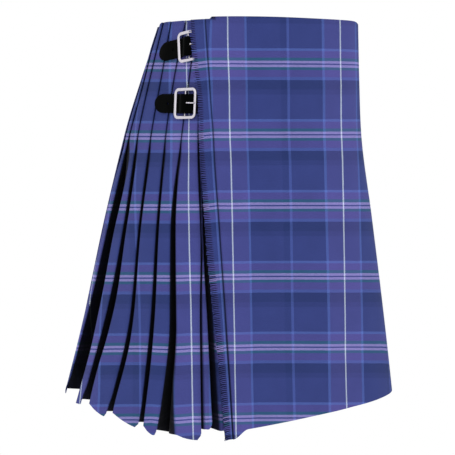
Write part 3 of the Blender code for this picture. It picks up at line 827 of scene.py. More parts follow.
# %% [markdown]
# ## Where the stripes fall on the pleats
# A kilt is pleated to the sett: each face shows the next part of the tartan, so the stripes seem
# to run on round the body. On the wearer's right a small chart says where each stripe stands at
# four heights. Round the back the stripes keep to their pleats, as they do when a tailor chalks
# the cloth at the fell.

# %% Stripe places
CHART_DROPS = (0, 140, 220, 400, 560)
# Each row: distance from a white line in the tartan, then its place along at CHART_DROPS.
CHART = (
    (-414, (-760, -700, -700, -700, -700)),
    (-310, (-640, -580, -598, -640, -640)),
    (-207, (-520, -482, -481, -480, -470)),
    (-175.5, (-470, -440, -434, -420, -408)),
    (-97.4, (-372, -349, -338, -314, -300)),
    (-31.5, (-261, -248, -245, -238, -238)),
    (0, (-225, -209.8, -208, -208.5, -210.5)),
    (31.5, (-190, -180, -180, -181, -184)),
    (109.6, (-130, -120, -120, -120, -120)),
    (207, (-30, -20, -20, -20, -20)),
)
# Pleats up to this number lie behind and aren't charted. Their stripes run on at the fell.
CHARTED_FROM = 13
STRIPES_BEHIND_START = 208.5


def charted(along, drop):
    """The place in the tartan of a point on the wearer's right."""
    stations = [np.interp(drop, CHART_DROPS, places) for _, places in CHART]
    return np.interp(along, stations, [row[0] for row in CHART])


def warp_at(number, along, drop):
    """The place in the tartan of points on one pleat's face; along counts from the front."""
    around = girth(drop)
    if number > CHARTED_FROM:
        return charted(along - around, drop)
    edge_here = folds_at(drop)[number][0]
    edge_at_fell = folds_at(FELL)[number][0] - girth(FELL)
    return edge_at_fell + STRIPES_BEHIND_START + (along - edge_here)


print("tartan places at the fell, mm:", charted([-414, -207, -20], FELL))

# %% Rounded rows of the pleats
FACE_POINTS = 6
RETURN_POINTS = 4
FOLD_ROUND = 1.0
HEM_ROUND = 9.0
HEM_ROUND_REACH = 6.0
HEM_ROUND_STARTS = 548.0
# The start of a face is rounded this far at most, and by this share of the face.
START_ROUND = 2.5
START_ROUND_SHARE = 0.25
# Painted shade, as the light left: where a face starts, at its edge, round the turn and inside the
# fold.
START_SHADES = ((0.0, 0.06), (0.5, 0.5), (1.0, 1.0))
EDGE_SHADE = 0.92
TURN_SHADES = (0.85, 0.5, 0.12, 0.05)
DEEP_SHADE = 0.02
HIDDEN_SHADE = 0.03
# Painted shade lifted a little deep in the wide fold, and on the inside of the kilt.
WIDE_SHADE = 0.05
INSIDE_SHADE = 0.85
# The pleat that the fringe stands over, and the painted shadow of the fringe on its face below the
# fell.
FRINGE_SIDE = PLEATS_BEHIND + 7
FRINGE_SHADE_DROPS = (158, 176, 240, 300)
FRINGE_SHADE = (1.0, 0.05, 0.05, 1.0)


def half_turn(first, last, steps, way):
    """Points on a half circle between two points; way says to which side it bulges."""
    middle = ((first[0] + last[0]) / 2, (first[1] + last[1]) / 2)
    half = ((last[0] - first[0]) / 2, (last[1] - first[1]) / 2)
    found = []
    for k in range(1, steps):
        angle = math.pi * k / steps
        out = way * math.sin(angle)
        found.append((
            middle[0] - half[0] * math.cos(angle) + half[1] * out,
            middle[1] - half[1] * math.cos(angle) - half[0] * out,
            first[2] + (last[2] - first[2]) * k / steps,
        ))
    return found


def line(first, last, steps):
    """Points after the first, up to and with the last."""
    return [mix(first, last, (k + 1) / steps) for k in range(steps)]


def hem_corner(distance, drop):
    """How far the hem is rounded up near a fold's edge, as a negative sag."""
    near = max(0.0, 1 - distance / HEM_ROUND_REACH)
    return -HEM_ROUND * near * near * float(ease(HEM_ROUND_STARTS, LENGTH, drop))


def pleats_row(drop):
    """One row of the pleats: places, tartan and the painted shade on each point, outside and
    inside.
    """
    folds = folds_at(drop)
    opened = recess("open", drop)
    rows = []

    def add(spots, shades, kind, number):
        """Adds points of one kind, with the painted shade on each one."""
        rows.extend((*spot, dark, kind, number) for spot, dark in zip(spots, shades))

    start = face_start(folds[0], drop)
    end = (start[0] - HIDDEN_DEPTH + 2 * TUCK, start[1] + 0.4, 0.0)
    add([end], [DEEP_SHADE], "hidden", 1)
    for number, fold in enumerate(folds[1:], 1):
        edge, back, far, near = tuck_under(fold, face_slope(start, fold), drop)
        run = edge[0] - start[0]
        before = rows[-1][:3]
        soft = min(START_ROUND, START_ROUND_SHARE * run)
        corner_out = mix(start, edge, soft / run)
        away = max(math.dist(before[:2], start[:2]), 0.5)
        corner_in = mix(start, before, min(soft, 0.4 * away) / away)
        for share, dark in START_SHADES:
            low = mix(corner_in, start, share)
            add([mix(low, mix(start, corner_out, share), share)], [dark], "face", number)
        radius = min(FOLD_ROUND, math.dist(edge[:2], back[:2]) / 2)
        last = mix(edge, corner_out, radius / max(edge[0] - corner_out[0], radius * 2))
        for k in range(FACE_POINTS):
            along, inset, _ = mix(corner_out, last, ((k + 1) / FACE_POINTS) ** 0.8)
            before_edge = (edge[0] - along) / run
            sag = edge[2] + (start[2] - edge[2]) * before_edge * before_edge
            sag += hem_corner(edge[0] - along, drop)
            dark = 1.0 if k < FACE_POINTS - 1 else EDGE_SHADE
            add([(along, inset, sag)], [dark], "face", number)
        turned = (back[0] - radius, back[1], back[2])
        raised = hem_corner(0.0, drop)
        arc = [(a, i, low + raised) for a, i, low in half_turn(last, turned, 5, 1.0)]
        add(arc, TURN_SHADES, "after", number)
        turned = (turned[0], turned[1], turned[2] + raised)
        under = [turned] + line(turned, far, RETURN_POINTS)
        add(under, [TURN_SHADES[-1]] + [DEEP_SHADE] * RETURN_POINTS, "after", number)
        if number < len(folds) - 1:
            add(half_turn(far, near, 3, -1.0), [DEEP_SHADE] * 2, "deep", number)
            start = face_start(fold, drop)
            dark = HIDDEN_SHADE + WIDE_SHADE * (number == PLEATS_BEHIND + 1) * opened
            rise = [near] + line(near, start, RETURN_POINTS)[:-1]
            add(rise, [dark] * RETURN_POINTS, "hidden", number + 1)
    along, inset, sag, shade, kinds, numbers = (np.array(column) for column in zip(*rows))
    walked = walked_along(plan(along, drop, inset))
    warp = np.zeros(len(rows))
    # Painted shadow of the fringe on the face under it.
    beside = (kinds == "face") & (numbers == FRINGE_SIDE)
    shade[beside] *= np.interp(drop, FRINGE_SHADE_DROPS, FRINGE_SHADE)
    for number in range(1, len(folds)):
        mine = numbers == number
        face = mine & (kinds == "face")
        warp[face] = warp_at(number, along[face], drop)
        first, last = np.flatnonzero(face)[[0, -1]]
        after = mine & np.isin(kinds, ("after", "deep"))
        warp[after] = warp[last] + walked[after] - walked[last]
        hidden = mine & (kinds == "hidden")
        warp[hidden] = warp[first] - (walked[first] - walked[hidden])
    inner_shade = np.where(np.isin(kinds, ("hidden", "deep")), INSIDE_SHADE, shade)
    return along, inset, sag, warp, shade, inner_shade


# The heights of the rows: close together near the top, the fell's end and the hem.
CLOTH_DROPS = [float(v) for v in (
    *(0, 2, 6, 14, 26, 38, 52, 66, 80, 94, 108, 120, 136, 152),
    *(170, 180, 192, 204, 218, 232, 246, 262),
    *np.linspace(270, 540, 34),
    *(547, 554, 560, 565, 570, 574, 578, 581, 583, 585),
)]
pleats = woven_wall("pleats_cloth", CLOTH_DROPS, pleats_row, tartan)
dress(pleats, "tartan", "pleats_left", "pleats_right")

# %% [markdown]
# ## The aprons
# The over apron is the flat front of the kilt. Its left edge is turned under, and its right edge
# stands out a little over the fringed strip and the strap ends. The under apron lies behind it and
# runs on from the last pleat. Neither is stitched down at the side, so each keeps a small gap.

# %% Over apron
APRON_RISE = 3.0
APRON_LIFT_REACH = 70.0
APRON_TURN = 11.0
APRON_CORNER_SAG = 12.0
APRON_CORNER_REACH = 24.0
APRON_STEP = (8.0, 9.5)
APRON_RISE_ENDS = 38
# A darker patch in the top edge near the right corner: its places from the right edge, how much it
# darkens, and the drops between which it fades.
APRON_DARK_PATCH = (7.0, 9.0, 15.0, 17.0)
DARK_PATCH_STRENGTH = 0.85
DARK_PATCH_FADE = (2, 5)
APRON_POINTS = 110
# Painted shade along the right edge: each row a distance from the edge, and the light left there.
APRON_EDGE_SHADE = ((0.0, 0.12), (0.8, 0.35), (2.0, 0.9))
# Painted shade on the part turned under the left edge.
TURNED_SHADE = 0.6
# Each row: a place along the aprons, and where it lies in the tartan at each of LIE_DROPS.
APRON_CHART = (
    (-230, (-98, -105, -108, -103, -98, -95, -94)),
    (-170, (-38.5, -41.5, -41, -35.5, -30.8, -28.1, -27)),
    (-141, (2.3, -2.7, -3.6, 2, 5.8, 7.2, 7.3)),
    (-110, (42.7, 37.5, 35.6, 39.7, 42, 42.3, 41.4)),
    (-75, (86, 79.1, 75.7, 78.3, 79.5, 78.9, 77.4)),
    (-40, (123.8, 115.7, 111.5, 113.4, 114.1, 112.9, 111.1)),
    (0, (162.1, 153.6, 149.1, 150.6, 151.1, 149.8, 147.7)),
    (40, (197.5, 189.1, 184.6, 186.1, 186.6, 185.1, 183)),
    (66, (217.5, 209.8, 205.7, 207.6, 208.2, 207, 204.9)),
    (90, (232.8, 225.7, 222.8, 225.6, 226.8, 225.9, 224.1)),
    (110, (244, 238, 236, 240, 241.5, 241, 239.5)),
    (150, (270, 264, 262, 266, 268, 268, 267)),
    (320, (440, 434, 432, 436, 438, 438, 437)),
)


def apron_warp(along, drop):
    """Where places along the aprons lie in the tartan."""
    marks = [np.interp(drop, LIE_DROPS, row[1]) for row in APRON_CHART]
    return np.interp(along, [row[0] for row in APRON_CHART], marks)


def apron_lift(along, drop):
    """How far the over apron stands proud, over what lies beneath its two side edges."""
    right = apron("right_edge", drop)
    left = apron("left_edge", drop)
    right_share = 1 - ease(0, APRON_LIFT_REACH, along - right)
    left_share = 1 - ease(0, APRON_LIFT_REACH, left - along)
    right_lift = apron("right_lift", drop) * right_share
    return right_lift + apron("left_lift", drop) * left_share


def over_apron_row(drop):
    """One row of the over apron, from its right edge to its turned left edge."""
    right = apron("right_edge", drop)
    left = apron("left_edge", drop)
    rise = -APRON_RISE * (1 - float(ease(0, APRON_RISE_ENDS, drop)))
    low_corner = (right + APRON_STEP[0], right + APRON_STEP[1])
    offsets, edge_shades = zip(*APRON_EDGE_SHADE)
    near_edge = right + np.array(offsets)
    along = np.concatenate([near_edge, np.linspace(right + 4, left - FOLD_ROUND, APRON_POINTS)])
    inset = CLOTH / 2 - apron_lift(along, drop)
    corner = 1 - ease(0, APRON_CORNER_REACH, along - right)
    sag = rise * ease(*low_corner, along) + hem_sag(drop, APRON_CORNER_SAG) * corner
    shade = np.ones(len(along))
    shade[: len(edge_shades)] = edge_shades
    # Darkens a patch near the top right corner.
    dark_patch = np.interp(along - right, APRON_DARK_PATCH, (1.0, 0.0, 0.0, 1.0))
    shade *= 1 - (1 - dark_patch) * (1 - float(ease(*DARK_PATCH_FADE, drop))) * DARK_PATCH_STRENGTH
    flat = list(zip(along, inset, sag))
    turned = (flat[-1][0], flat[-1][1] + LAYER, rise)
    end = left - APRON_TURN
    last = (end, CLOTH / 2 - float(apron_lift(end, drop)) + LAYER + 0.2, rise)
    under = half_turn(flat[-1], turned, 5, 1.0) + [turned] + line(turned, last, 3)
    along, inset, sag = np.array(flat + under).T
    walked = walked_along(plan(along, drop, inset))
    warp = apron_warp(along, drop)
    edge = len(flat) - 1
    warp[edge:] = warp[edge] + walked[edge:] - walked[edge]
    return along, inset, sag, warp, np.concatenate([shade, np.full(len(under), TURNED_SHADE)])


over_apron = woven_wall("over_apron_cloth", CLOTH_DROPS, over_apron_row, tartan)
dress(over_apron, "tartan", "over_apron")

# %% Under apron
UNDER_COLUMNS = ("along", "inset")
UNDER = ((-140, 10.0), (-60, 3.8), (60, 3.0), (180, 3.4))
UNDER_END = (160, 245)
UNDER_RUN_OUT = 18.0
UNDER_TUCK = 1.2
UNDER_POINTS = 70
# Painted shade where the under apron comes out from beneath the last pleat.
UNDER_SHADES = (0.1, 0.1, 0.15, 0.3)


def under_apron_row(drop):
    """One row of the under apron, from the last pleat's deep fold to its free left edge."""
    folds = folds_at(drop)
    around = girth(drop)
    last = (folds[-1][0] - around, *folds[-1][1:])
    before = face_start((folds[-2][0] - around, *folds[-2][1:]), drop)
    near = tuck_under(last, face_slope(before, last), drop)[3]
    start = face_start(last, drop)
    start = (start[0], start[1] + UNDER_TUCK, 0.0)
    end = UNDER_END[0] + (UNDER_END[1] - UNDER_END[0]) * drop / LENGTH
    out = start[0] + UNDER_RUN_OUT
    first = (out, table(UNDER, UNDER_COLUMNS, "inset", out) + CLOTH / 2, 0.0)
    points = [near] + line(near, start, 3) + line(start, first, 3)
    for along in np.linspace(out, end, UNDER_POINTS)[1:]:
        points.append((along, table(UNDER, UNDER_COLUMNS, "inset", along) + CLOTH / 2, 0.0))
    along, inset, sag = np.array(points).T
    shade = np.ones(len(points))
    shade[: len(UNDER_SHADES)] = UNDER_SHADES
    return along, inset, sag, apron_warp(along, drop), shade


under_apron = woven_wall("under_apron_cloth", CLOTH_DROPS, under_apron_row, tartan)
dress(under_apron, "tartan", "under_apron")

# %% [markdown]
# ## The fringed strip
# A narrow strip of the same cloth is sewn under the right edge of the over apron. Its long side is
# pulled into yarns and combed out, and the yarns gather in small tufts. Each tuft here is three
# thin tapering yarns, a little closer at their tips than at their roots. A flat card with a
# picture would look the same from in front, but not from the side.

# %% Fringed strip
STRIP_HIDDEN = 16.0
STRIP_SAG = 12.0
STRIP_JOINS = -181.0
# The fused backing under the yarns: how far it reaches, how dark its painted shadow is, and how
# deep it lies.
BACKING_SHARE = 0.85
BACKING_SHADE = 0.12
BACKING_SUNK = 0.5
YARN_LENGTH = 9.0
YARN_ROOT = 3.0
# How much shorter the yarns are combed, at these drops.
YARN_TRIM_DROPS = (0, 18, 28, 58, 66, 78, 98, 146, 170, 230, 300, 340, 585)
YARN_TRIM = (2.0, 2.0, 5.0, 5.0, 2.5, 2.5, 5.0, 5.0, 5.5, 5.2, 3.0, 2.0, 0.8)
# The strip's blue line lies this far outside the apron's right edge.
YARN_BLUE_AT = 1.7
# Painted shadow of the apron's edge on the strip: the light left at these places, counted from the
# apron's right edge.
STRIP_SHADE_AT = (-1.6, -0.8, 0.0)
STRIP_SHADE = (1.0, 0.12, 0.1)
STRIP_SAG_LEFT = 0.1
# How far from the yarns' roots the backing's painted shadow is full, and the backing has sunk.
BACKING_DARK_BY = 1.5
BACKING_SUNK_BY = 3.0


def strip_inset(along, drop):
    """The middle of the fringed strip, which lies just under the over apron."""
    right = apron("right_edge", drop)
    return CLOTH / 2 + LAYER - apron_lift(np.maximum(along, right), drop)


def strip_dips(along, drop):
    """How far the check dips on the strip, between its dips on the pleats and on the apron."""
    right = apron("right_edge", drop)
    tip = apron("fringe_end", drop)
    ends = lie((STRIP_JOINS, right), drop)
    return np.interp(along, (tip, right), ends)


def yarn_root(drop):
    """Where the yarns leave the strip."""
    return apron("fringe_end", drop) + YARN_LENGTH + YARN_ROOT


def yarn_reach(drop):
    """How long the combed yarns are."""
    return YARN_LENGTH + YARN_ROOT - np.interp(drop, YARN_TRIM_DROPS, YARN_TRIM)


def strip_row(drop):
    """One row of the strip, from its frayed edge to where it is sewn behind the apron."""
    right = apron("right_edge", drop)
    root = yarn_root(drop)
    backing = root - yarn_reach(drop) * BACKING_SHARE
    along = np.concatenate([
        np.linspace(backing, root, 5)[:-1],
        np.linspace(root, right, 7)[:-1],
        np.linspace(right, right + STRIP_HIDDEN, 6),
    ])
    blue = (WARP_BANDS[1][0] + WARP_BANDS[2][0]) / 2
    warp = along - (right - YARN_BLUE_AT) - blue
    # Painted shadow of the apron's edge on the strip.
    shade = np.interp(along - right, STRIP_SHADE_AT, STRIP_SHADE)
    # Painted shadow on the backing, which shows between the yarns.
    shade *= np.interp(along - root, (-BACKING_DARK_BY, 0.0), (BACKING_SHADE, 1.0))
    sunk = 1 - ease(-BACKING_SUNK_BY, 0.0, along - root)
    inset = strip_inset(along, drop) + BACKING_SUNK * sunk
    hidden = np.interp(along - right, (0.0, STRIP_HIDDEN), (1.0, STRIP_SAG_LEFT))
    sag = hem_sag(drop, STRIP_SAG) * hidden
    return along, inset, sag, warp, shade


strip = woven_wall("fringe_strip_cloth", CLOTH_DROPS, strip_row, tartan, strip_dips)
dress(strip, "tartan", "fringe_strip")


# %% Skins over rings
def loft(rings, faces, points, closed_ends=True):
    """Adds a skin over rings of points, all with the same number of points."""
    sides = len(rings[0])
    base = len(points)
    for ring_points in rings:
        points.extend(ring_points)
    for r in range(len(rings) - 1):
        for c in range(sides):
            d = (c + 1) % sides
            a = base + r * sides
            b = a + sides
            faces.append((a + c, a + d, b + d, b + c))
    if closed_ends:
        faces.append(tuple(base + c for c in range(sides - 1, -1, -1)))
        far = base + (len(rings) - 1) * sides
        faces.append(tuple(far + c for c in range(sides)))


def round_ring(spot, side, up, width, height, sides):
    """Points of an ellipse round a spot."""
    return [
        spot + side * (width * math.cos(2 * math.pi * k / sides) / 2)
        + up * (height * math.sin(2 * math.pi * k / sides) / 2)
        for k in range(sides)
    ]


def lofted(name, lofts, material):
    """A named piece skinned over each of some lists of rings."""
    points, faces = [], []
    for rings in lofts:
        loft(rings, faces, points)
    return mesh_piece(name, points, faces, material)


print("sides of a ring:", len(round_ring(0.0, 1.0, 1.0, 1.0, 1.0, 5)))

# %% Yarn wool
YARN_PLUM = 0.4
yarn_paint, graph, shader = new_material("yarn_wool", 0.9, Specular_IOR_Level=0.05)
# The yarns' painted shade and highlight, a little uneven at random.
yarn_shade_and_unevenness = graph.add("ShaderNodeAttribute", attribute_name="shade")
split = graph.add("ShaderNodeSeparateXYZ")
graph.feed(split.inputs[0], graph.add("ShaderNodeUVMap", uv_map="weave").outputs[0])
weft_place = graph.math("SUBTRACT", split.outputs[1], WEFT_START * MM)
weft = graph.bands(weft_place, WEFT_SETT, WEFT_BANDS)
cloth = graph.mix(YARN_PLUM, weft, (*PLUM, 1))
graph.feed(shader.inputs["Base Color"], graph.mix(1.0, cloth, yarn_shade_and_unevenness.outputs["Fac"], "MULTIPLY"))
print("yarn material made")

# %% Combed yarns
YARN_COUNT = 234
YARN_STEPS = 5
YARN_SIDES = 5
# How far apart the yarns of a tuft lie, and how wide each one is, at the root and at the tip.
YARN_SPREAD = (0.5, 0.4)
YARN_WIDE = (0.75, 0.55)
YARN_FLAT = 0.7
YARN_FLARE = 2.6
YARN_PROUD = 0.6
# Painted shade and highlight on each yarn of a tuft: the first is its shadowed side, the others
# lit.
YARN_SHADE_AND_HIGHLIGHT = (0.3, 1.15, 0.95)
STRANDS = len(YARN_SHADE_AND_HIGHLIGHT)


def yarn_ring(k, j, t, drop, reach):
    """The ring at a share t of the way along yarn j of tuft k. Small sines make each differ."""
    here = min(drop, LENGTH)
    along = yarn_root(here) - yarn_reach(here) * (1 + (reach - 1) * t) * t
    curl = 0.5 * math.sin(3.1 * k + 2.0 * j) * t * t
    inset = float(strip_inset(along, here)) - YARN_FLARE * t * t - YARN_PROUD + curl
    flat = plan(along, here, inset)
    spot = np.append(flat, TOP - drop - hem_sag(here, STRIP_SAG))
    forward = np.append(plan(along - 1.0, here, inset) - flat, 0.0)
    out = np.append(plan(along, here, inset - 1.0) - flat, 0.0)
    width = YARN_WIDE[0] + (YARN_WIDE[1] - YARN_WIDE[0]) * t
    width *= 1.0 + 0.1 * math.sin(7.0 * k + j)
    return round_ring(spot, np.cross(forward, out), out, width, YARN_FLAT * width, YARN_SIDES)


def yarns():
    """All the combed yarns, in one piece, each with its painted shade and a little random
    unevenness.
    """
    lofts, shade_and_unevenness, weave = [], [], []
    pitch = LENGTH / YARN_COUNT
    for k in range(YARN_COUNT):
        middle = (k + 0.5) * pitch
        reach = 1 + 0.05 * math.sin(5.1 * k) + 0.04 * math.sin(2.3 * k)
        slant = 0.6 + 0.35 * math.sin(1.9 * k) + 0.2 * math.sin(4.7 * k)
        level = middle + hem_sag(min(middle, LENGTH), STRIP_SAG)
        level -= float(strip_dips(yarn_root(middle), middle))
        for j in range(STRANDS):
            share = j / (STRANDS - 1) - 0.5
            root_drop = middle + share * YARN_SPREAD[0] * pitch
            tip_drop = middle + slant + share * YARN_SPREAD[1] * pitch
            rings = []
            for step in range(YARN_STEPS + 1):
                t = step / YARN_STEPS
                drop = root_drop + (tip_drop - root_drop) * t**1.3
                rings.append(yarn_ring(k, j, t, min(max(drop, 0.3), LENGTH + 2.0), reach))
            lofts.append(rings)
            # Painted shade and highlight of this yarn, a little uneven at random.
            shade_and_unevenness.append(YARN_SHADE_AND_HIGHLIGHT[j] * (1.0 + 0.12 * math.sin(4.3 * k + 2.6 * j)))
            weave.append((0.0, level * MM))
    item = lofted("fringe_yarns_combed", lofts, yarn_paint)
    each = (YARN_STEPS + 1) * YARN_SIDES
    mark_weave(item, np.repeat(weave, each, axis=0), np.repeat(shade_and_unevenness, each))
    print("yarns:", len(lofts), "faces:", len(item.data.polygons))
    return item


fringe = yarns()
dress(fringe, "yarn", "fringe_yarns")

# %% [markdown]
# ## Straps and buckles
# Leather straps hold the kilt closed. Each comes out from under an apron and passes over the
# centre bar of its buckle, with no loop or keeper, and its prong goes through a hole. The buckle
# is held by a chape, a tab of leather rolled round the bar. The place of a fastening is a flat
# seat, worked out from the cloth under it.

# %% Seats
STRAP_WIDTH = 28.0
STRAP_THICK = 2.0
STRAP_CLEAR = 0.9
STRAP_TIP_ROUND = 0.995
STRAP_TIP_LONG = 1.6
HUMP_HALF = 16.5
HUMP_SHAPE = 1.15
HUMP_SPARE = 0.5
COVER_ENDS = 2.0
COVER_SPARE = 0.2
FRAME_WIDTH = 43.0
FRAME_HEIGHT = 45.0
FRAME_CORNER = 8.0
RAIL_WIDTH = 4.6
RAIL_THICK = 2.6
BAR_RADIUS = 1.1
BAR_SUNK = 0.1
PRONG_RADIUS = 0.9
PRONG_OVER_BAR = 0.3
PRONG_OVER_STRAP = 0.5
# Each row: share of the way from the bar to the far rail, level it keeps to, rise above that.
PRONG_ROUTE = (
    (0.03, "bar", 0.0),
    (0.25, "bar", 1.0),
    (0.44, "strap", -0.6),
    (0.54, "strap", 0.5),
    (0.74, "rail", 1.2),
    (1.00, "rail", 0.0),
    (1.05, "rail", -0.1),
)
CHAPE_THICK = 1.0
CHAPE_WIDTH = 20.0
CHAPE_REACH = 8.0
CHAPE_BEND = 5.0
CHAPE_REST = 0.2
# Each row: name, along, drop, tilt and yaw in degrees, level, tip, root, turn, spin in degrees.
FASTENINGS = (
    ("upper", -209.5, 37.5, 6.6, 2.0, 4.4, -281, -146, 1, 2.5),
    ("lower", -212, 120, 0.0, 2.0, 4.6, -285, -136, 1, 2.0),
    ("left", 242, 40, 0.0, 0.0, 4.8, 312, 176, -1, 0.0),
)


def rest_level(along, drop):
    """The inset of the line that touches the pleats' fold edges, where leather lies."""
    around = girth(drop)
    folds = folds_at(drop)
    shift = around if along < 0 else 0.0
    return float(np.interp(along, [f[0] - shift for f in folds], [f[2] for f in folds]))


class Seat:
    """The flat frame of one buckle: x along the strap, y across, z outwards."""

    def __init__(self, name, along, drop, tilt, yaw, level, tip, root, turn, spin):
        self.name, self.along, self.drop, self.level = name, along, drop, level
        self.tip, self.root, self.turn = tip, root, turn
        self.slope = math.tan(math.radians(tilt))
        self.origin = Vector(self.surface(along, drop))
        strap_end = Vector(self.surface(along + turn, drop - turn * self.slope))
        below = Vector(self.surface(along, drop + 1))
        self.x = (strap_end - self.origin).normalized()
        self.z = self.x.cross(below - self.origin).normalized()
        outward = Vector((*self.origin.xy, 0))
        if self.z.dot(outward) < 0:
            self.z.negate()
        self.y = self.z.cross(self.x).normalized()
        yawed = Matrix.Rotation(math.radians(yaw), 3, self.y)
        self.x = yawed @ self.x
        self.z = yawed @ self.z
        spun = Matrix.Rotation(math.radians(spin), 3, self.z)
        self.x = spun @ self.x
        self.y = spun @ self.y
        self.axes = [np.array(axis) for axis in (self.x, self.y, self.z)]

    def bar_level(self):
        """How high the middle of the centre bar lies."""
        return self.level - BAR_SUNK

    def hump(self):
        """How far the strap climbs to pass over the centre bar and the rolled leather."""
        return self.bar_level() + BAR_RADIUS + CHAPE_THICK + 2 * GAP + HUMP_SPARE

    def surface(self, along, drop, height=0.0):
        """A point this high above the pleats' fold edges."""
        return place(along, drop, rest_level(along, drop) - height)

    def point(self, x, y, z):
        """A point of the seat's own frame, in space."""
        return np.array(self.origin + self.x * x + self.y * y + self.z * z)

    def ground(self, x):
        """How high the fold edges lie above the flat frame, at x along the strap."""
        along = self.along + self.turn * x
        spot = Vector(self.surface(along, self.drop - self.turn * x * self.slope))
        return (spot - self.origin).dot(self.z)


seats = [Seat(*row) for row in FASTENINGS]
print("seats:", [seat.name for seat in seats])

# %% Leather and metal
LEATHER_DARK = (0.0006, 0.0008, 0.0008, 1)
LEATHER_LIGHT = (0.0012, 0.0014, 0.0014, 1)
METAL_DARK = (0.56, 0.53, 0.58, 1)
METAL_LIGHT = (0.66, 0.63, 0.69, 1)
leather, graph, shader = new_material("strap_leather", 0.6, Specular_IOR_Level=0.012)
spot = graph.add("ShaderNodeTexCoord").outputs["Object"]
pebble = graph.noise(spot, 1400.0, 3.0)
wear = graph.noise(spot, 60.0, 2.0)
worn = graph.remap(wear, 0.35, 0.65, 0.0, 1.0)
graph.feed(shader.inputs["Base Color"], graph.mix(worn, LEATHER_DARK, LEATHER_LIGHT))
graph.feed(shader.inputs["Roughness"], graph.remap(pebble, 0.3, 0.7, 0.5, 0.62))
graph.feed(shader.inputs["Normal"], graph.bump(pebble, 0.25))

chrome, graph, shader = new_material("buckle_metal", 0.32, Metallic=1.0)
spot = graph.add("ShaderNodeTexCoord").outputs["Object"]
haze = graph.noise(spot, 160.0, 3.0)
graph.feed(shader.inputs["Base Color"], graph.mix(haze, METAL_DARK, METAL_LIGHT))
graph.feed(shader.inputs["Roughness"], graph.remap(haze, 0.3, 0.7, 0.28, 0.38))
print("leather and metal made")

# %% Straps
STRAP_LINES = 18
STRAP_POINTS = 70
# How much a strap thins at its edges, how sharply, and over what length at its tip.
EDGE_THIN = 0.55
EDGE_POWER = 10
TIP_THIN = 1.5
SLOT_AT = 8.2
SLOT_SIZE = (6.0, 3.6)
SLOT_HEIGHTS = (-2.0, 16.0)
HOLE_SIZE = 3.8
HOLE_DEPTHS = (-6.0, 6.0)
# How far the spare holes lie from the centre bar, towards the strap's tip.
HOLES_AT = {"upper": (23.5, 36.0), "lower": (28.0, 40.5), "left": (26.0, 38.0)}


def strap_height(seat, offset):
    """How high the middle of a strap runs above the fold edges; it climbs the centre bar."""
    hump = 0.5 + 0.5 * math.cos(math.pi * min(abs(offset) / HUMP_HALF, 1.0) ** HUMP_SHAPE)
    return STRAP_CLEAR + STRAP_THICK / 2 + seat.hump() * hump


def hidden_height(seat, along, drop):
    """The highest that a strap's middle may run where an apron covers it."""
    if seat.turn > 0:
        cover = float(strip_inset(along, drop)) + CLOTH / 2
    else:
        left = apron("left_edge", drop)
        if along > left + COVER_ENDS:
            return math.inf
        cover = CLOTH + LAYER - float(apron_lift(min(along, left), drop)) + COVER_SPARE
    return rest_level(along, drop) - cover - STRAP_CLEAR - STRAP_THICK / 2


def strap_spot(seat, along, across):
    """The along, drop and height of the middle of a strap."""
    drop = seat.drop + across - (along - seat.along) * seat.slope
    height = strap_height(seat, along - seat.along)
    if (along - seat.along) * seat.turn > HUMP_HALF:
        height = min(height, hidden_height(seat, along, drop))
    return drop, height


def leather_shell(name, outer, inner):
    """A closed piece of leather between two grids of points."""
    rows, columns = len(outer), len(outer[0])
    under = rows * columns
    rim = list(range(columns))
    rim += [r * columns + columns - 1 for r in range(1, rows)]
    rim += [(rows - 1) * columns + c for c in range(columns - 2, -1, -1)]
    rim += [r * columns for r in range(rows - 2, 0, -1)]
    faces = sheet_faces(rows, columns)
    faces += [(a, b, under + b, under + a) for a, b in zip(rim, rim[1:] + rim[:1])]
    return mesh_piece(name, [p for row in outer + inner for p in row], faces, leather)


def strap(seat):
    """A strap with thinned edges that passes over its buckle's bar."""
    half = STRAP_WIDTH / 2
    outer, inner = [], []
    for r in range(STRAP_LINES + 1):
        across = half * math.sin(math.pi * (r / STRAP_LINES - 0.5))
        round_off = half - math.sqrt(half**2 - (STRAP_TIP_ROUND * across) ** 2)
        tip = seat.tip + seat.turn * round_off * STRAP_TIP_LONG
        tops, bottoms = [], []
        for k in range(STRAP_POINTS + 1):
            share = (k / STRAP_POINTS) ** 1.15
            along = tip + (seat.root - tip) * share
            drop, height = strap_spot(seat, along, across)
            near_tip = max(0.0, 1 - abs(along - tip) / TIP_THIN) ** 2
            rim = max((abs(across) / half) ** EDGE_POWER, near_tip)
            thick = STRAP_THICK / 2 * (1 - EDGE_THIN * rim)
            tops.append(seat.surface(along, drop, height + thick))
            bottoms.append(seat.surface(along, drop, height - thick))
        outer.append(tops if seat.turn > 0 else tops[::-1])
        inner.append(bottoms if seat.turn > 0 else bottoms[::-1])
    return leather_shell(f"strap_{seat.name}_leather", outer, inner)


print("spare holes, mm from the bar:", HOLES_AT)

# %% Holes
CUT_ANGLE = math.radians(50)


def cut(item, name, lofts):
    """Cuts closed lofts out of a piece, and removes the cutter."""
    cutter = lofted(name, lofts, leather)
    for piece in (item, cutter):
        mesh = bmesh.new()
        mesh.from_mesh(piece.data)
        bmesh.ops.recalc_face_normals(mesh, faces=mesh.faces)
        mesh.to_mesh(piece.data)
        mesh.free()
    change = item.modifiers.new("cut", "BOOLEAN")
    change.operation = "DIFFERENCE"
    change.solver = "EXACT"
    change.object = cutter
    evaluated = item.evaluated_get(bpy.context.evaluated_depsgraph_get())
    cut_mesh = bpy.data.meshes.new_from_object(evaluated)
    item.modifiers.clear()
    item.data = cut_mesh
    bpy.data.objects.remove(cutter)
    item.data.set_sharp_from_angle(angle=CUT_ANGLE)


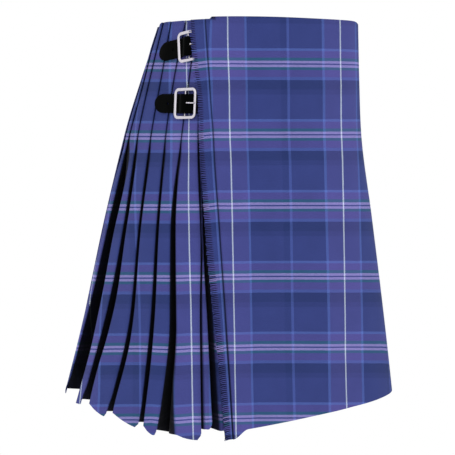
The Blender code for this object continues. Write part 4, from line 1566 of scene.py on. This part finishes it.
def strap_holes(seat):
    """Rings for punching the strap: a long hole at the prong and round ones towards the tip."""
    ahead, across, up = seat.axes
    found = [[
        round_ring(seat.point(SLOT_AT, 0, height), ahead, across, *SLOT_SIZE, 16)
        for height in SLOT_HEIGHTS
    ]]
    for away in HOLES_AT[seat.name]:
        along = seat.along - seat.turn * away
        drop, height = strap_spot(seat, along, 0.0)
        centre = seat.surface(along, drop, height)
        found.append([
            round_ring(centre + up * level, ahead, across, HOLE_SIZE, HOLE_SIZE, 14)
            for level in HOLE_DEPTHS
        ])
    return found


for seat in seats:
    item = strap(seat)
    cut(item, f"punch_{seat.name}", strap_holes(seat))
    dress(item, "leather", f"strap_{seat.name}")
    print(item.name, len(item.data.polygons))

# %% Chapes
ROLL_STEPS = 20
ROLL_DEGREES = (-70, 104)
# The lines across a chape, as shares of its half width, and how it thins at its sides.
CHAPE_LINES = (1.0, 0.985, 0.9, 0.5, 0.0, -0.5, -0.9, -0.985, -1.0)
CHAPE_THIN = 0.4
CHAPE_THIN_POWER = 20
# The slot for the prong: how far ahead of the bar and above it, its size and its ends.
CHAPE_SLOT_AT = (3.4, 0.8)
CHAPE_SLOT_SIZE = (9.0, 4.8)
CHAPE_SLOT_DEPTHS = (-8.0, 8.0)


def chape(seat):
    """The tab sewn to the pleats and rolled round the bar; its slot for the prong is cut
    afterwards.
    """
    middle = GAP + CHAPE_REST + CHAPE_THICK / 2
    roll = BAR_RADIUS + GAP + CHAPE_THICK / 2
    route = [(x, seat.ground(x) + middle) for x in np.linspace(-CHAPE_REACH, -CHAPE_BEND, 4)]
    for degrees in np.linspace(*ROLL_DEGREES, ROLL_STEPS):
        angle = math.radians(degrees)
        route.append((roll * math.cos(angle), seat.bar_level() + roll * math.sin(angle)))
    route = np.array(route)
    across = sideways(route) * CHAPE_THICK / 2
    half = CHAPE_WIDTH / 2
    outer, inner = [], []
    for share in CHAPE_LINES:
        y = half * share
        thin = 1 - CHAPE_THIN * (abs(y) / half) ** CHAPE_THIN_POWER
        outer.append([seat.point(x, y, z) for x, z in route + across * thin])
        inner.append([seat.point(x, y, z) for x, z in route - across * thin])
    return leather_shell(f"chape_{seat.name}_leather", outer, inner)


print("height of each bar, mm:", [round(float(seat.bar_level()), 2) for seat in seats])

# %% Buckles and prongs
FRAME_SIDES = 16
FRAME_CORNER_STEPS = 8
# Below 1, a rail's section has flatter sides than an ellipse.
PILLOW_POWER = 0.6
PRONG_STEPS = 28
PRONG_SIDES = 14
PRONG_TAPER = 0.35
PRONG_TAPER_FROM = 0.75
PRONG_WIDE = 1.15


def rail_path(seat):
    """The frame's middle line, with the outward direction at each point."""
    ahead, across, _ = seat.axes
    half_x = (FRAME_WIDTH - RAIL_WIDTH) / 2
    half_y = (FRAME_HEIGHT - RAIL_WIDTH) / 2
    radius = FRAME_CORNER - RAIL_WIDTH / 2
    found = []
    for corner in range(4):
        x = (1, -1, -1, 1)[corner] * (half_x - radius)
        y = (1, 1, -1, -1)[corner] * (half_y - radius)
        for step in range(FRAME_CORNER_STEPS + 1):
            angle = math.radians(90 * corner + 90 * step / FRAME_CORNER_STEPS)
            out = ahead * math.cos(angle) + across * math.sin(angle)
            found.append((seat.point(x, y, seat.level) + out * radius, out))
    return found


def pillow_ring(spot, side, up, width, height, sides):
    """A ring with flat sides and rounded corners."""
    found = []
    for k in range(sides):
        angle = 2 * math.pi * (k + 0.5) / sides
        c, s = math.cos(angle), math.sin(angle)
        a = math.copysign(abs(c) ** PILLOW_POWER, c) * width / 2
        b = math.copysign(abs(s) ** PILLOW_POWER, s) * height / 2
        found.append(spot + side * a + up * b)
    return found


def buckle(seat):
    """The rounded frame and its centre bar."""
    ahead, _, up = seat.axes
    points, faces = [], []
    rings = [
        pillow_ring(spot, out, up, RAIL_WIDTH, RAIL_THICK, FRAME_SIDES)
        for spot, out in rail_path(seat)
    ]
    loft(rings + rings[:1], faces, points, closed_ends=False)
    half_y = (FRAME_HEIGHT - RAIL_WIDTH) / 2
    size = 2 * BAR_RADIUS
    ends = [seat.point(0, y, seat.bar_level()) for y in (-half_y, half_y)]
    bar = [round_ring(end, ahead, up, size, size, FRAME_SIDES) for end in ends]
    loft(bar, faces, points)
    return mesh_piece(f"buckle_{seat.name}_metal", points, faces, chrome)


def prong(seat):
    """The prong: up through the strap's hole from the bar, and onto the far rail."""
    rail = (FRAME_WIDTH - RAIL_WIDTH) / 2
    rail_top = seat.level + RAIL_THICK / 2 + PRONG_RADIUS + GAP
    bar_top = seat.bar_level() + BAR_RADIUS + PRONG_RADIUS + PRONG_OVER_BAR
    strap_top = GAP + STRAP_THICK + seat.hump() + PRONG_RADIUS + PRONG_OVER_STRAP
    levels = {"bar": bar_top, "strap": strap_top, "rail": rail_top}
    stations = [share * rail for share, _, _ in PRONG_ROUTE]
    heights = [levels[name] + rise for _, name, rise in PRONG_ROUTE]
    ahead, across, outwards = seat.axes
    xs = np.linspace(stations[0], stations[-1], PRONG_STEPS)
    zs = [curve(stations, heights, x) for x in xs]
    rings = []
    for k, (x, z) in enumerate(zip(xs, zs)):
        j, i = min(k + 1, len(xs) - 1), max(k - 1, 0)
        run = Vector((xs[j] - xs[i], zs[j] - zs[i])).normalized()
        up = outwards * run.x - ahead * run.y
        taper = 1.0 - PRONG_TAPER * ease(PRONG_TAPER_FROM, 1.0, k / (len(xs) - 1))
        size = 2 * PRONG_RADIUS * taper
        spot = seat.point(x, 0, z)
        rings.append(round_ring(spot, across, up, PRONG_WIDE * size, size, PRONG_SIDES))
    return lofted(f"prong_{seat.name}_metal", [rings], chrome)


for seat in seats:
    tab = chape(seat)
    slot = []
    for level in CHAPE_SLOT_DEPTHS:
        centre = seat.point(CHAPE_SLOT_AT[0], 0, seat.bar_level() + CHAPE_SLOT_AT[1] + level)
        slot.append(round_ring(centre, *seat.axes[:2], *CHAPE_SLOT_SIZE, 16))
    cut(tab, f"slot_{seat.name}", [slot])
    dress(tab, "leather", f"chape_{seat.name}")
    dress(buckle(seat), "chrome", f"buckle_{seat.name}")
    dress(prong(seat), "chrome", f"prong_{seat.name}")
    print("fastened:", seat.name)

# %% [markdown]
